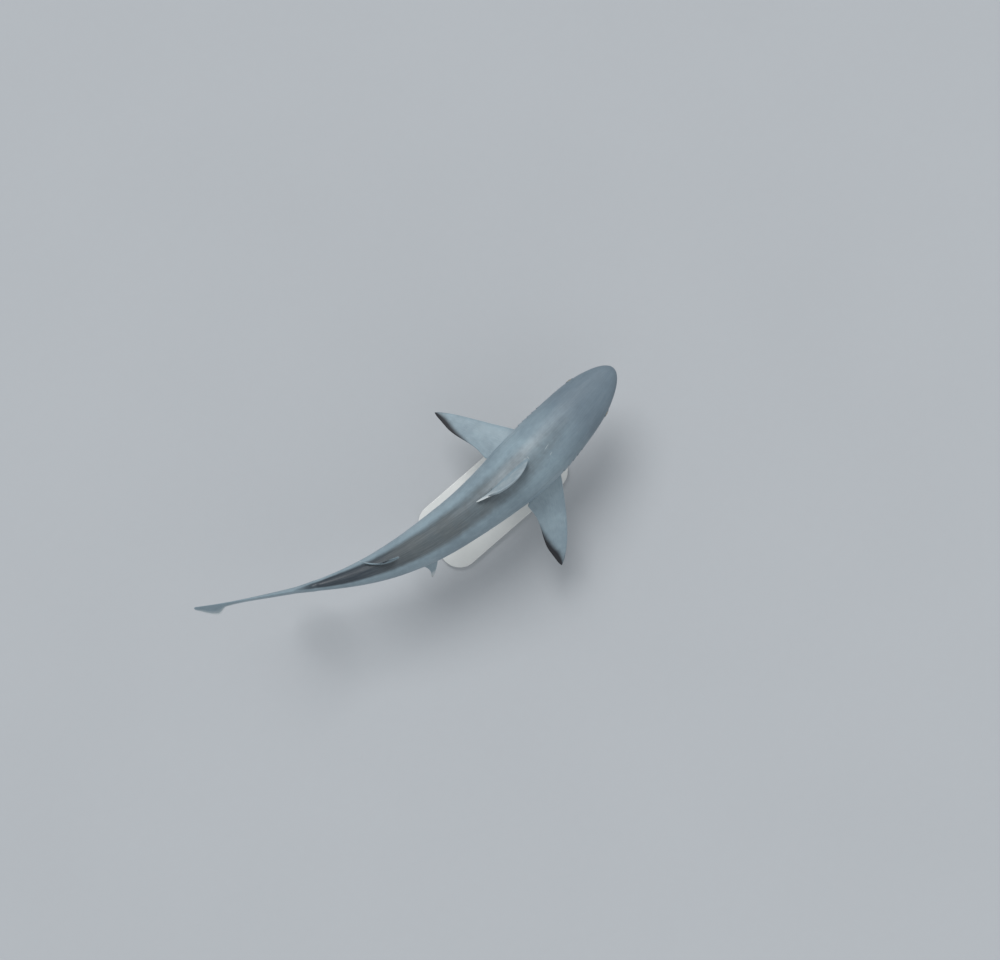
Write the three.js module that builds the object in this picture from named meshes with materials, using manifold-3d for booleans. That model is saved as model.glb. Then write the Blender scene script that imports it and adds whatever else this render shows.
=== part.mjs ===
// Blacktip shark, life size, turning to its left above a flat display stand.
// Millimetres. The origin is the middle of the stand's underside.
// +X points forward over the stand, +Y to the shark's left, +Z up.
import * as THREE from "three";
import { mergeVertices } from "three/addons/utils/BufferGeometryUtils.js";
import Module from "manifold-3d";

const wasm = await Module();
wasm.setup();

// ---- driving dimensions ----
const totalLength = 1600; // snout tip to tail tip, along the bent midline
const axisHeight = 330; // the body's axis above the floor
const overStand = 0.36; // share of the length that stands over the origin
const pieceGap = 0.3; // clearance between neighbouring pieces
const degree = Math.PI / 180;

// The body's shape at shares of the length from the snout: [share, value].
const heading = [
  [0, 8.2], [0.12, 7.4], [0.25, 3.8], [0.43, -4.4], [0.57, -13.5], [0.63, -19],
  [0.71, -25.5], [0.8, -30], [1, -34],
]; // degrees to the left of +X
const halfWidth = [
  [0, 0], [0.04, 59], [0.08, 81], [0.12, 92], [0.17, 100], [0.22, 105], [0.28, 103], [0.34, 93.5],
  [0.42, 82], [0.5, 73], [0.58, 58.5], [0.66, 40.5], [0.71, 28.5], [0.76, 17.5], [0.8, 12],
];
const backHeight = [
  [0, 0], [0.04, 32], [0.08, 53], [0.12, 71], [0.17, 89], [0.22, 104], [0.28, 115], [0.34, 117],
  [0.42, 108], [0.5, 91], [0.58, 70], [0.66, 50], [0.71, 39], [0.76, 33], [0.8, 30],
];
const bellyDepth = [
  [0, 0], [0.04, 22], [0.08, 36], [0.12, 54], [0.17, 78], [0.22, 98], [0.28, 113], [0.34, 116],
  [0.42, 104], [0.5, 84], [0.58, 61], [0.66, 43], [0.71, 34], [0.76, 29], [0.8, 27],
];
const widestLevel = [[0, -10], [0.08, -6], [0.2, 0], [0.5, 4], [0.66, 10], [0.76, 14], [0.8, 15]];
const backRoundness = [[0, 2], [0.2, 2.1], [0.5, 2.1], [0.76, 2]];
const bellyRoundness = [[0, 2.1], [0.06, 2.5], [0.14, 2.4], [0.3, 2.2], [0.76, 2]];

const bodyCuts = { headEnd: 0.224, trunkMiddle: 0.4, stalkStart: 0.568, stalkEnd: 0.765 };
const eye = { share: 0.079, angle: 5, along: 14, high: 13.4, deep: 7, sunk: 4.4 };
const gills = {
  count: 5, first: 0.166, step: 0.0132, low: -26, lowRise: 17, high: 17, bow: 3, width: 1.4, depth: 5,
};
const mouth = { front: 0.073, reach: 0.037, halfSpan: 64, ends: 80, width: 1.6, depth: 6 };
const standBase = { length: 540, width: 250, corner: 70, thickness: 16, edge: 3 };
const standRods = { radius: 8, shares: [0.27, 0.47], socket: 26, collarRadius: 20, collarHeight: 14 };
const boreFoot = 60; // the rods' bores are cut upwards from this height, below the belly

// Fins: back and out run from the fin's origin, in millimetres, and v runs from root to tip.
const sectionSwell = 2.6; // sqrt(chord) * (1 - chord) times this peaks at one
const tipFlat = 0.12; // share of the chord that is left at a rounded tip
const finBow = 0.83; // a middle fin bows sideways as sin(finBow * pi * v)
const rootUnder = 8; // how much deeper than one rootDepth per v a fin's root is buried
const rampUp = (from, to, v) => {
  const x = Math.min(Math.max((v - from) / (to - from), 0), 1);
  return x * x * (3 - 2 * x);
};
const pectoral = {
  origin: 0.217, side: 80, drop: -50, span: 270, thickness: 15, edge: 0.6,
  droop: { left: 20, right: 20 }, twist: { left: 0.5, right: -3 },
  leading: (v) => 184 * (0.87 * v + 0.13 * v ** 6),
  trailing: (v) => 96 + 64 * rampUp(0, 0.1, v) + 32 * rampUp(0.22, 0.75, v),
};
const pelvic = {
  origin: 0.506, side: 34, drop: -62, span: 84, thickness: 7, edge: 0.6,
  droop: { left: 66, right: 30 }, twist: { left: 0, right: 0 },
  leading: (v) => 64 * (0.85 * v + 0.15 * v ** 5),
  trailing: (v) => valueAt([[0, 68], [0.16, 102], [0.45, 71], [0.7, 64], [1, 70]], v),
};
const firstDorsal = {
  origin: 0.256, height: 182, thickness: 13, edge: 0.6, rootDepth: 30, leanRight: 21, tipLeft: 13,
  leading: (v) => 166 * (0.62 * v + 0.38 * v ** 2.4),
  trailing: (v) => valueAt(
    [[0, 146], [0.05, 212], [0.2, 168], [0.42, 141], [0.62, 139], [0.82, 151], [1, 169]], v,
  ),
};
const secondDorsal = {
  origin: 0.579, height: 50, thickness: 5, edge: 0.6, rootDepth: 18, leanRight: -4, tipLeft: 32,
  leading: (v) => 48 * (0.6 * v + 0.4 * v ** 2),
  trailing: (v) => valueAt([[0, 66], [0.12, 130], [0.35, 82], [0.65, 54], [1, 51]], v),
};
const anal = {
  origin: 0.59, height: 58, thickness: 5, edge: 0.6, rootDepth: 18, leanRight: 0, tipLeft: 6,
  leading: (v) => 60 * (0.7 * v + 0.3 * v ** 2),
  trailing: (v) => valueAt([[0, 68], [0.13, 114], [0.35, 70], [0.6, 53], [1, 65]], v),
};
// The tail, back from the end of the stalk: heights of the upper lobe's two margins, v runs to its tip.
const upperLobe = {
  reach: 352, edge: 0.7, bladeWidth: 9, joinWidth: 4.5,
  top: [[0, 47], [0.12, 68], [0.45, 119], [0.75, 162], [1, 199]],
  bottom: [[0, -14], [0.2, -2], [0.41, 28], [0.6, 82], [0.76, 134], [0.83, 124], [0.92, 157], [1, 194]],
  bendRight: [[0, 0], [0.5, 5], [0.75, 13], [0.83, 35], [1, 8]],
};
const lowerLobe = {
  thickness: 10, edge: 0.6,
  leading: (v) => [2 + 116 * (0.75 * v + 0.25 * v ** 3), -12 - 138 * v],
  trailing: (v) => [113 + 37 * (1 - v) ** 3 + 6 * v ** 6, 45 - 195 * v],
};

// ---- curves ----
// A smooth value between stations: a cubic whose slope is the harmonic mean of its two sides.
function valueAt(stations, share) {
  const last = stations.length - 1;
  if (share <= stations[0][0]) return stations[0][1];
  if (share >= stations[last][0]) return stations[last][1];
  const i = stations.findIndex((station) => station[0] > share) - 1;
  const slope = (k) => (stations[k + 1][1] - stations[k][1]) / (stations[k + 1][0] - stations[k][0]);
  const tangent = (k) => {
    if (k === 0) return slope(0);
    if (k === last) return slope(last - 1);
    const product = slope(k - 1) * slope(k);
    return product <= 0 ? 0 : (2 * product) / (slope(k - 1) + slope(k));
  };
  const step = stations[i + 1][0] - stations[i][0];
  const x = (share - stations[i][0]) / step;
  const start = stations[i][1] * (1 + 2 * x) * (1 - x) ** 2 + tangent(i) * step * x * (1 - x) ** 2;
  return start + stations[i + 1][1] * (3 - 2 * x) * x ** 2 - tangent(i + 1) * step * (1 - x) * x ** 2;
}

// The same between squared values, so that a size which starts from nothing starts as a parabola.
function roundedAt(stations, share) {
  return Math.sqrt(Math.max(valueAt(stations.map(([at, value]) => [at, value * value]), share), 0));
}

// The midline in the XY plane: the heading followed tailwards in small steps, zero over the stand.
const midlineSteps = 800;
const midline = [[0, 0]];
for (let i = 0; i < midlineSteps; i += 1) {
  const angle = valueAt(heading, (i + 0.5) / midlineSteps) * degree;
  const step = totalLength / midlineSteps;
  midline.push([midline[i][0] - step * Math.cos(angle), midline[i][1] - step * Math.sin(angle)]);
}
const standPoint = midline[Math.round(overStand * midlineSteps)].slice();
for (const point of midline) {
  point[0] -= standPoint[0];
  point[1] -= standPoint[1];
}

// Point of the midline at a share of the length, moved left by side and to a height above the axis.
function place(share, side, up) {
  const at = Math.min(Math.max(share, 0), 1) * midlineSteps;
  const i = Math.min(Math.floor(at), midlineSteps - 1);
  const beyond = (share - Math.min(Math.max(share, 0), 1)) * totalLength;
  const angle = valueAt(heading, share) * degree;
  const x = midline[i][0] + (at - i) * (midline[i + 1][0] - midline[i][0]) - beyond * Math.cos(angle);
  const y = midline[i][1] + (at - i) * (midline[i + 1][1] - midline[i][1]) - beyond * Math.sin(angle);
  return [x - side * Math.sin(angle), y + side * Math.cos(angle), axisHeight + up];
}

// Point of the body's surface: angle runs from the left side (0) over the back (90), belly at -90.
function bodyPoint(share, angle, grow = 0) {
  const sine = Math.sin(angle);
  const cosine = Math.cos(angle);
  const power = 2 / valueAt(sine >= 0 ? backRoundness : bellyRoundness, share);
  const reach = roundedAt(sine >= 0 ? backHeight : bellyDepth, share) + grow;
  const side = (roundedAt(halfWidth, share) + grow) * Math.sign(cosine) * Math.abs(cosine) ** power;
  const up = valueAt(widestLevel, share) + reach * Math.sign(sine) * Math.abs(sine) ** power;
  return place(share, side, up);
}

// Height of the body's surface over a place at one side of the midline.
function surfaceLevel(share, side, onBack) {
  const power = valueAt(onBack ? backRoundness : bellyRoundness, share);
  const inward = Math.min(Math.abs(side) / roundedAt(halfWidth, share), 1);
  const reach = roundedAt(onBack ? backHeight : bellyDepth, share) * (1 - inward ** power) ** (1 / power);
  return valueAt(widestLevel, share) + (onBack ? reach : -reach);
}

// ---- solids ----
// A closed loft through rings of points. A ring of one point closes that end as a tip.
function loft(rings) {
  const positions = [];
  const indices = [];
  const starts = rings.map((ring) => {
    const start = positions.length / 3;
    for (const point of ring) positions.push(...point);
    return start;
  });
  for (let r = 0; r + 1 < rings.length; r += 1) {
    const count = Math.max(rings[r].length, rings[r + 1].length);
    for (let k = 0; k < count; k += 1) {
      const next = (k + 1) % count;
      const here = rings[r].length === 1 ? [starts[r], starts[r]] : [starts[r] + k, starts[r] + next];
      const onward = starts[r + 1];
      const there = rings[r + 1].length === 1 ? [onward, onward] : [onward + k, onward + next];
      if (here[0] !== here[1]) indices.push(here[0], here[1], there[1]);
      if (there[0] !== there[1]) indices.push(here[0], there[1], there[0]);
    }
  }
  const cap = (start, ring, flip) => {
    for (let k = 1; k + 1 < ring.length; k += 1) {
      indices.push(...(flip ? [start, start + k + 1, start + k] : [start, start + k, start + k + 1]));
    }
  };
  cap(starts[0], rings[0], true);
  cap(starts[rings.length - 1], rings[rings.length - 1], false);
  const geometry = new THREE.BufferGeometry();
  geometry.setAttribute("position", new THREE.Float32BufferAttribute(positions, 3));
  geometry.setIndex(indices);
  return geometry;
}

// A manifold solid from a closed geometry, turned outwards if its faces point in.
function solidOf(geometry) {
  const bare = geometry.clone();
  bare.deleteAttribute("normal");
  bare.deleteAttribute("uv");
  const merged = mergeVertices(bare, 1e-3);
  const triVerts = Uint32Array.from(merged.index.array);
  const vertProperties = Float32Array.from(merged.attributes.position.array);
  let volume = 0;
  const corner = (k) => new THREE.Vector3().fromArray(vertProperties, triVerts[k] * 3);
  for (let k = 0; k < triVerts.length; k += 3) volume += corner(k).dot(corner(k + 1).cross(corner(k + 2)));
  for (let k = 0; volume < 0 && k < triVerts.length; k += 3) {
    [triVerts[k], triVerts[k + 1]] = [triVerts[k + 1], triVerts[k]];
  }
  return new wasm.Manifold(new wasm.Mesh({ numProp: 3, vertProperties, triVerts }));
}

function geometryOf(solid) {
  const mesh = solid.getMesh();
  const geometry = new THREE.BufferGeometry();
  geometry.setAttribute("position", new THREE.Float32BufferAttribute(mesh.vertProperties, 3));
  geometry.setIndex(Array.from(mesh.triVerts));
  geometry.computeVertexNormals();
  return geometry;
}

// Evenly spaced numbers with both ends, count steps apart.
function span(from, to, count) {
  return Array.from({ length: count + 1 }, (_, k) => from + ((to - from) * k) / count);
}

// A length of the body between two shares, with its ends square to the midline.
function bodyLength(shares, around, grow = 0) {
  const turns = span(0, 2 * Math.PI, around).slice(0, around);
  const ring = (share) => turns.map((angle) => bodyPoint(share, angle, grow));
  const rings = shares.map((share) => (share === 0 ? [bodyPoint(0, 0, 0)] : ring(share)));
  if (shares[0] === 0 && grow > 0) rings[0] = [place(-grow / totalLength, 0, widestLevel[0][1])];
  return solidOf(loft(rings));
}

// A fin: sections from its leading to its trailing edge, thickest a third of the way back.
function finSolid({ leading, trailing, thickness, edge, put, rows, roundTip = 0.06, taper = 0.75 }) {
  const across = 6;
  const rings = rows.map((v) => {
    const outward = Math.max(v, 0);
    const front = leading(outward);
    const rear = trailing(outward);
    const full = (thickness * (1 - taper * outward)) / 2;
    const close = v > 1 - roundTip ? Math.sqrt(Math.max(1 - ((v - 1 + roundTip) / roundTip) ** 2, 0)) : 1;
    const side = (sign) => span(0, 1, across).map((u) => {
      const chord = u ** 1.5;
      const back = front + (rear - front) * (0.5 + (chord - 0.5) * (tipFlat + (1 - tipFlat) * close));
      const half = sign * Math.max(full * close, edge) * sectionSwell * Math.sqrt(chord) * (1 - chord);
      return put(back, v, half + sign * edge * Math.min(u * across, 1));
    });
    return [...side(1), ...side(-1).slice(1).reverse()];
  });
  return solidOf(loft(rings));
}

const finRows = [-0.12, 0, 0.03, 0.06, 0.1, 0.17, 0.27, 0.4, 0.53, 0.66, 0.78, 0.87, 0.94, 0.98, 0.995];

// A paired fin: flat, swept back, tilted down from its root on the lower flank.
function pairedFin(shape, left) {
  const sign = left ? 1 : -1;
  const droop = shape.droop[left ? "left" : "right"] * degree;
  const twist = shape.twist[left ? "left" : "right"] * degree;
  const put = (back, v, off) => {
    const out = v * shape.span;
    const turnedBack = back * Math.cos(twist) - out * Math.sin(twist) * (v > 0 ? 1 : 0);
    const turnedOut = out * Math.cos(twist) + back * Math.sin(twist) * Math.max(v, 0);
    const side = shape.side + turnedOut * Math.cos(droop) + off * Math.sin(droop);
    const up = shape.drop - turnedOut * Math.sin(droop) + off * Math.cos(droop);
    return place(shape.origin + turnedBack / totalLength, sign * side, up);
  };
  return finSolid({ ...shape, put, rows: finRows });
}

// A fin in the body's middle plane, standing on the back (up = 1) or hanging from the belly (up = -1).
function middleFin(shape, up) {
  const rootLevel = (share) => (up > 0 ? 1 : -1) * Math.abs(surfaceLevel(share, 0, up > 0));
  const put = (back, v, off) => {
    const share = shape.origin + back / totalLength;
    const base = v < 0 ? v * shape.rootDepth * rootUnder : v * shape.height;
    const lean = -shape.leanRight * Math.sin(finBow * Math.PI * Math.max(v, 0));
    const curl = shape.tipLeft * Math.max(back / shape.trailing(0.08), 0) ** 3;
    return place(share, off + lean + curl, rootLevel(share) + up * base);
  };
  return finSolid({ ...shape, put, rows: finRows });
}

// The tail's upper lobe: a blade that carries the end of the spine up to its tip.
function upperLobeSolid() {
  const across = 8;
  const rows = [-0.006, 0.02, ...span(0.07, 0.7, 9), 0.75, 0.79, 0.83, 0.875, 0.92, 0.96, 0.99];
  const rings = rows.map((v) => {
    const share = bodyCuts.stalkEnd + (upperLobe.reach * v) / totalLength;
    const top = valueAt(upperLobe.top, v);
    const bottom = valueAt(upperLobe.bottom, v);
    const along = Math.max(v, 0);
    const stem = roundedAt(halfWidth, share) * (1 - along) ** 2 + upperLobe.bladeWidth * along * (1 - along);
    const join = upperLobe.joinWidth * (1 - rampUp(0.1, 0.42, v));
    const bend = valueAt(upperLobe.bendRight, v);
    const side = (sign) => span(0, 1, across).map((u) => {
      const bulge = Math.sin(Math.PI * u ** (1 - 0.35 * along)) ** (0.5 + 0.8 * along);
      const half = sign * (upperLobe.edge + Math.max(stem * bulge, join * u * u));
      return place(share, half - bend * u, top + (bottom - top) * u);
    });
    return [...side(1), ...side(-1).reverse()];
  });
  return solidOf(loft(rings));
}

// The tail's lower lobe: a short blade that points down and back.
function lowerLobeSolid() {
  const across = 6;
  const rows = [-0.1, 0, 0.1, 0.22, 0.36, 0.5, 0.64, 0.76, 0.86, 0.93, 0.98];
  const rings = rows.map((v) => {
    const [frontBack, frontUp] = lowerLobe.leading(v);
    const [rearBack, rearUp] = lowerLobe.trailing(v);
    const side = (sign) => span(0, 1, across).map((u) => {
      const chord = u ** 1.4;
      const back = frontBack + (rearBack - frontBack) * chord;
      const swell = sectionSwell * Math.sqrt(chord) * (1 - chord) * (1 - 0.8 * Math.max(v, 0));
      const half = sign * (lowerLobe.edge * Math.min(u * across, 1) + (lowerLobe.thickness / 2) * swell);
      return place(bodyCuts.stalkEnd + back / totalLength, half, frontUp + (rearUp - frontUp) * chord);
    });
    return [...side(1), ...side(-1).slice(1).reverse()];
  });
  return solidOf(loft(rings));
}

// A thin blade that cuts a groove: a rectangle carried along a path, its width along the body.
function grooveBlade(path, width, depth) {
  const rings = path.map(({ at, outward }) => {
    const [x, y, z] = at;
    const [outX, outY, outZ] = outward;
    const corner = (along, out) => [x + along * width + out * outX, y + out * outY, z + out * outZ];
    return [corner(-0.5, -depth), corner(0.5, -depth), corner(0.5, depth), corner(-0.5, depth)];
  });
  return solidOf(loft(rings));
}

// Gill slit k: a shallow bow up the flank, between its low and its high angle.
function gillBlade(k, sign) {
  const low = gills.low + gills.lowRise * (k / (gills.count - 1)) ** 1.3;
  const path = span(-1, 1, 4).map((t) => {
    const share = gills.first + gills.step * k + (gills.bow * (1 - t * t)) / totalLength;
    const lift = low + ((t + 1) / 2) * (gills.high - low);
    const angle = (sign > 0 ? lift : 180 - lift) * degree;
    const at = bodyPoint(share, angle);
    const lifted = bodyPoint(share, angle, 1);
    return { at, outward: [lifted[0] - at[0], lifted[1] - at[1], lifted[2] - at[2]] };
  });
  return grooveBlade(path, gills.width, gills.depth);
}

// The mouth: an arch under the snout.
function mouthBlade() {
  const path = span(-mouth.ends, mouth.ends, 10).map((angleDegrees) => {
    const side = mouth.halfSpan * Math.sin(angleDegrees * degree);
    const share = mouth.front + mouth.reach * (1 - Math.cos(angleDegrees * degree)) ** 0.9;
    return { at: place(share, side, surfaceLevel(share, side, false)), outward: [0, 0, -1] };
  });
  return grooveBlade(path, mouth.width, mouth.depth);
}

// The eye is a flattened ball whose short axis follows the head's surface outwards.
function eyeBall(sign, grow) {
  const angle = (sign > 0 ? eye.angle : 180 - eye.angle) * degree;
  const reach = 0.004;
  const at = new THREE.Vector3(...bodyPoint(eye.share, angle));
  const forward = new THREE.Vector3(...bodyPoint(eye.share - reach, angle)).sub(at).normalize();
  const upward = new THREE.Vector3(...bodyPoint(eye.share, angle + sign * 0.1)).sub(at).normalize();
  const outward = new THREE.Vector3().crossVectors(forward, upward).multiplyScalar(-sign).normalize();
  const across = new THREE.Vector3().crossVectors(outward, forward);
  const turned = new THREE.Matrix4().makeBasis(forward, across, outward);
  const sizes = [eye.along + grow, eye.high + grow, eye.deep + grow];
  const ball = new THREE.SphereGeometry(1, 14, 10).scale(...sizes);
  const centre = at.addScaledVector(outward, -eye.sunk);
  return solidOf(ball.applyMatrix4(turned).translate(centre.x, centre.y, centre.z));
}

// An upright rod on the midline.
function rodAt(share, radius, bottom, top) {
  const [x, y] = place(share, 0, 0);
  const rod = new THREE.CylinderGeometry(radius, radius, top - bottom, 20).rotateX(Math.PI / 2);
  return solidOf(rod.translate(x, y, (top + bottom) / 2));
}

function rodTop(share) {
  return axisHeight + surfaceLevel(share, 0, false) + standRods.socket;
}

// ---- the object ----
const materials = {
  back: new THREE.MeshStandardMaterial({ color: 0x6a7a86, roughness: 0.45, metalness: 0 }),
  fin: new THREE.MeshStandardMaterial({ color: 0x8497a3, roughness: 0.5, metalness: 0 }),
  eye: new THREE.MeshStandardMaterial({ color: 0x1a1c1a, roughness: 0.1, metalness: 0 }),
  paint: new THREE.MeshStandardMaterial({ color: 0xdadbd8, roughness: 0.5, metalness: 0 }),
  steel: new THREE.MeshStandardMaterial({ color: 0xb4b7ba, roughness: 0.3, metalness: 1 }),
};
const shark = new THREE.Group();

function addPiece(name, solid, material) {
  const mesh = new THREE.Mesh(geometryOf(solid), material.clone());
  mesh.name = name;
  shark.add(mesh);
}

const gapShare = pieceGap / 2 / totalLength;
const around = 26;
const noseShares = [0, 0.0008, 0.003, 0.007, 0.013, 0.021, 0.031];
const headShares = [...noseShares, ...span(0.043, bodyCuts.headEnd - gapShare, 12)];
const lengths = {
  head: headShares,
  trunk_front: span(bodyCuts.headEnd + gapShare, bodyCuts.trunkMiddle - gapShare, 9),
  trunk_rear: span(bodyCuts.trunkMiddle + gapShare, bodyCuts.stalkStart - gapShare, 7),
  tail_stalk: span(bodyCuts.stalkStart + gapShare, bodyCuts.stalkEnd - gapShare, 9),
};
const cutters = [eyeBall(1, pieceGap), eyeBall(-1, pieceGap), mouthBlade()];
for (let k = 0; k < gills.count; k += 1) cutters.push(gillBlade(k, 1), gillBlade(k, -1));
for (const share of standRods.shares) {
  cutters.push(rodAt(share, standRods.radius + pieceGap, boreFoot, rodTop(share) + pieceGap));
}
const allCuts = cutters.reduce((sum, cutter) => sum.add(cutter));
for (const [name, shares] of Object.entries(lengths)) {
  addPiece(name, bodyLength(shares, around).subtract(allCuts), materials.back);
}
addPiece("eye_left", eyeBall(1, 0), materials.eye);
addPiece("eye_right", eyeBall(-1, 0), materials.eye);

const lastShare = bodyCuts.stalkEnd + pieceGap / totalLength;
const wholeShares = [...headShares, ...span(bodyCuts.headEnd + 0.02, lastShare, 25)];
const wholeBody = bodyLength(wholeShares, around, pieceGap);
const fins = {
  pectoral_fin_left: pairedFin(pectoral, true),
  pectoral_fin_right: pairedFin(pectoral, false),
  pelvic_fin_left: pairedFin(pelvic, true),
  pelvic_fin_right: pairedFin(pelvic, false),
  first_dorsal_fin: middleFin(firstDorsal, 1),
  second_dorsal_fin: middleFin(secondDorsal, 1),
  anal_fin: middleFin(anal, -1),
};
for (const [name, solid] of Object.entries(fins)) addPiece(name, solid.subtract(wholeBody), materials.fin);

const upper = upperLobeSolid();
addPiece("caudal_fin_upper_lobe", upper.subtract(wholeBody), materials.fin);
addPiece("caudal_fin_lower_lobe", lowerLobeSolid().subtract(wholeBody).subtract(upper), materials.fin);

// ---- the stand ----
function baseOutline({ length, width, corner, edge }) {
  const x = length / 2 - edge;
  const y = width / 2 - edge;
  const r = corner - edge;
  const outline = new THREE.Shape();
  outline.moveTo(-x + r, -y);
  outline.lineTo(x - r, -y);
  outline.absarc(x - r, -y + r, r, -Math.PI / 2, 0);
  outline.absarc(x - r, y - r, r, 0, Math.PI / 2);
  outline.absarc(-x + r, y - r, r, Math.PI / 2, Math.PI);
  outline.absarc(-x + r, -y + r, r, Math.PI, 1.5 * Math.PI);
  return outline;
}

const plate = new THREE.ExtrudeGeometry(baseOutline(standBase), {
  depth: standBase.thickness - 2 * standBase.edge,
  bevelThickness: standBase.edge,
  bevelSize: standBase.edge,
  bevelSegments: 1,
  curveSegments: 8,
}).translate(0, 0, standBase.edge);
addPiece("stand_base", solidOf(plate), materials.paint);
standRods.shares.forEach((share, k) => {
  const foot = standBase.thickness + pieceGap;
  const collarTop = foot + standRods.collarHeight;
  const rod = rodAt(share, standRods.radius, foot, rodTop(share));
  const collar = rodAt(share, standRods.collarRadius, foot, collarTop);
  addPiece(k === 0 ? "stand_rod_front" : "stand_rod_rear", rod.add(collar), materials.steel);
});

export default shark;
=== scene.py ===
import bpy
import numpy as np
from mathutils import Matrix, Vector


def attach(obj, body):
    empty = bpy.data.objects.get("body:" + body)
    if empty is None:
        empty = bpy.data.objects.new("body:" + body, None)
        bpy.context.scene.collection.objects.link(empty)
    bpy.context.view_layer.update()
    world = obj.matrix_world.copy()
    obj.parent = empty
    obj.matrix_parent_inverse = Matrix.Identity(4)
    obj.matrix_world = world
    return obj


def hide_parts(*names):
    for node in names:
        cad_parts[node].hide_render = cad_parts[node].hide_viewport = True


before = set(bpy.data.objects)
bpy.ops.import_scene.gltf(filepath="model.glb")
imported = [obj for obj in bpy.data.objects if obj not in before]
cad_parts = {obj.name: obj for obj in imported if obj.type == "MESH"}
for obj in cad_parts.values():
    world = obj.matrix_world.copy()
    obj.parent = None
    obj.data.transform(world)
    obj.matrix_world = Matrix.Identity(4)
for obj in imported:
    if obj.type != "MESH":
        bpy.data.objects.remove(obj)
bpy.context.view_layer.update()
print("frame: loaded", len(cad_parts), "solids")

mm = 0.001  # sizes below are millimetres, and place() turns them into metres
degree = np.pi / 180

# ---- the shark's shape, at shares of its length from the snout: [share, value] ----
body = {
    "length": 1600,
    "axisHeight": 330,
    "overStand": 0.36,
    "stalkEnd": 0.765,
    "heading": [
        [0, 8.2], [0.12, 7.4], [0.25, 3.8], [0.43, -4.4], [0.57, -13.5], [0.63, -19], [0.71, -25.5],
        [0.8, -30], [1, -34],
    ],
    "halfWidth": [
        [0, 0], [0.04, 59], [0.08, 81], [0.12, 92], [0.17, 100], [0.22, 105], [0.28, 103], [0.34, 93.5],
        [0.42, 82], [0.5, 73], [0.58, 58.5], [0.66, 40.5], [0.71, 28.5], [0.76, 17.5], [0.8, 12],
    ],
    "backHeight": [
        [0, 0], [0.04, 32], [0.08, 53], [0.12, 71], [0.17, 89], [0.22, 104], [0.28, 115], [0.34, 117],
        [0.42, 108], [0.5, 91], [0.58, 70], [0.66, 50], [0.71, 39], [0.76, 33], [0.8, 30],
    ],
    "bellyDepth": [
        [0, 0], [0.04, 22], [0.08, 36], [0.12, 54], [0.17, 78], [0.22, 98], [0.28, 113], [0.34, 116],
        [0.42, 104], [0.5, 84], [0.58, 61], [0.66, 43], [0.71, 34], [0.76, 29], [0.8, 27],
    ],
    "widestLevel": [[0, -10], [0.08, -6], [0.2, 0], [0.5, 4], [0.66, 10], [0.76, 14], [0.8, 15]],
    "backRound": [[0, 2], [0.2, 2.1], [0.5, 2.1], [0.76, 2]],
    "bellyRound": [[0, 2.1], [0.06, 2.5], [0.14, 2.4], [0.3, 2.2], [0.76, 2]],
}
tail = {
    "reach": 352, "blend": 0.012, "edge": 0.7, "bladeWidth": 9, "joinWidth": 4.5, "joinFade": (0.1, 0.42),
    "topRim": 0.02, "lowRim": (0.02, 0.4),
    "top": [[0, 47], [0.12, 68], [0.45, 119], [0.75, 162], [1, 199]],
    "bottom": [[0, -14], [0.2, -2], [0.41, 28], [0.6, 82], [0.76, 134], [0.83, 124], [0.92, 157], [1, 194]],
    "bendRight": [[0, 0], [0.5, 5], [0.75, 13], [0.83, 35], [1, 8]],
}


# A value between stations: a cubic in each gap, whose slope at a station is the harmonic mean of both
# sides.
def valueAt(stations, share):
    at, value = np.array(stations, float).T
    gap = np.diff(at)
    slope = np.diff(value) / gap
    product = slope[:-1] * slope[1:]
    total = np.where(product > 0, slope[:-1] + slope[1:], 1)
    tangent = np.concatenate([slope[:1], np.where(product > 0, 2 * product / total, 0), slope[-1:]])
    share = np.clip(share, at[0], at[-1])
    i = np.clip(np.searchsorted(at, share, side="right") - 1, 0, len(gap) - 1)
    x = (share - at[i]) / gap[i]
    start = value[i] * (1 + 2 * x) * (1 - x) ** 2 + tangent[i] * gap[i] * x * (1 - x) ** 2
    return start + value[i + 1] * (3 - 2 * x) * x**2 - tangent[i + 1] * gap[i] * (1 - x) * x**2


# The same between squared values, so that a size which starts from nothing starts as a parabola.
def roundedAt(stations, share):
    return np.sqrt(np.maximum(valueAt([[at, value**2] for at, value in stations], share), 0))


# 0 before low, 1 after high, and 3x^2 - 2x^3 between them.
def rampUp(low, high, value):
    x = np.clip((value - low) / (high - low), 0, 1)
    return x * x * (3 - 2 * x)


# A quarter circle: 0 at an edge, and 1 from a distance of 1 inwards.
def quarterCircle(distance):
    return np.sqrt(1 - (1 - np.clip(distance, 0, 1)) ** 2)


# A soft bump of height 1: exp(-x^2).
def bump(distance, width):
    return np.exp(-((distance / width) ** 2))


# The sum of several bumps, each given as its place, width and height.
def ridges(distance, table):
    return sum(height * bump(distance - at, width) for at, width, height in table)


# The midline on the ground: the heading followed tailwards in small steps, zero over the stand.
midlineSteps = 800
stepAngle = valueAt(body["heading"], (np.arange(midlineSteps) + 0.5) / midlineSteps) * degree
stepWay = -np.stack([np.cos(stepAngle), np.sin(stepAngle)], -1) * body["length"] / midlineSteps
midline = np.concatenate([[[0, 0]], np.cumsum(stepWay, 0)])
midline -= midline[round(body["overStand"] * midlineSteps)]


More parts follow.
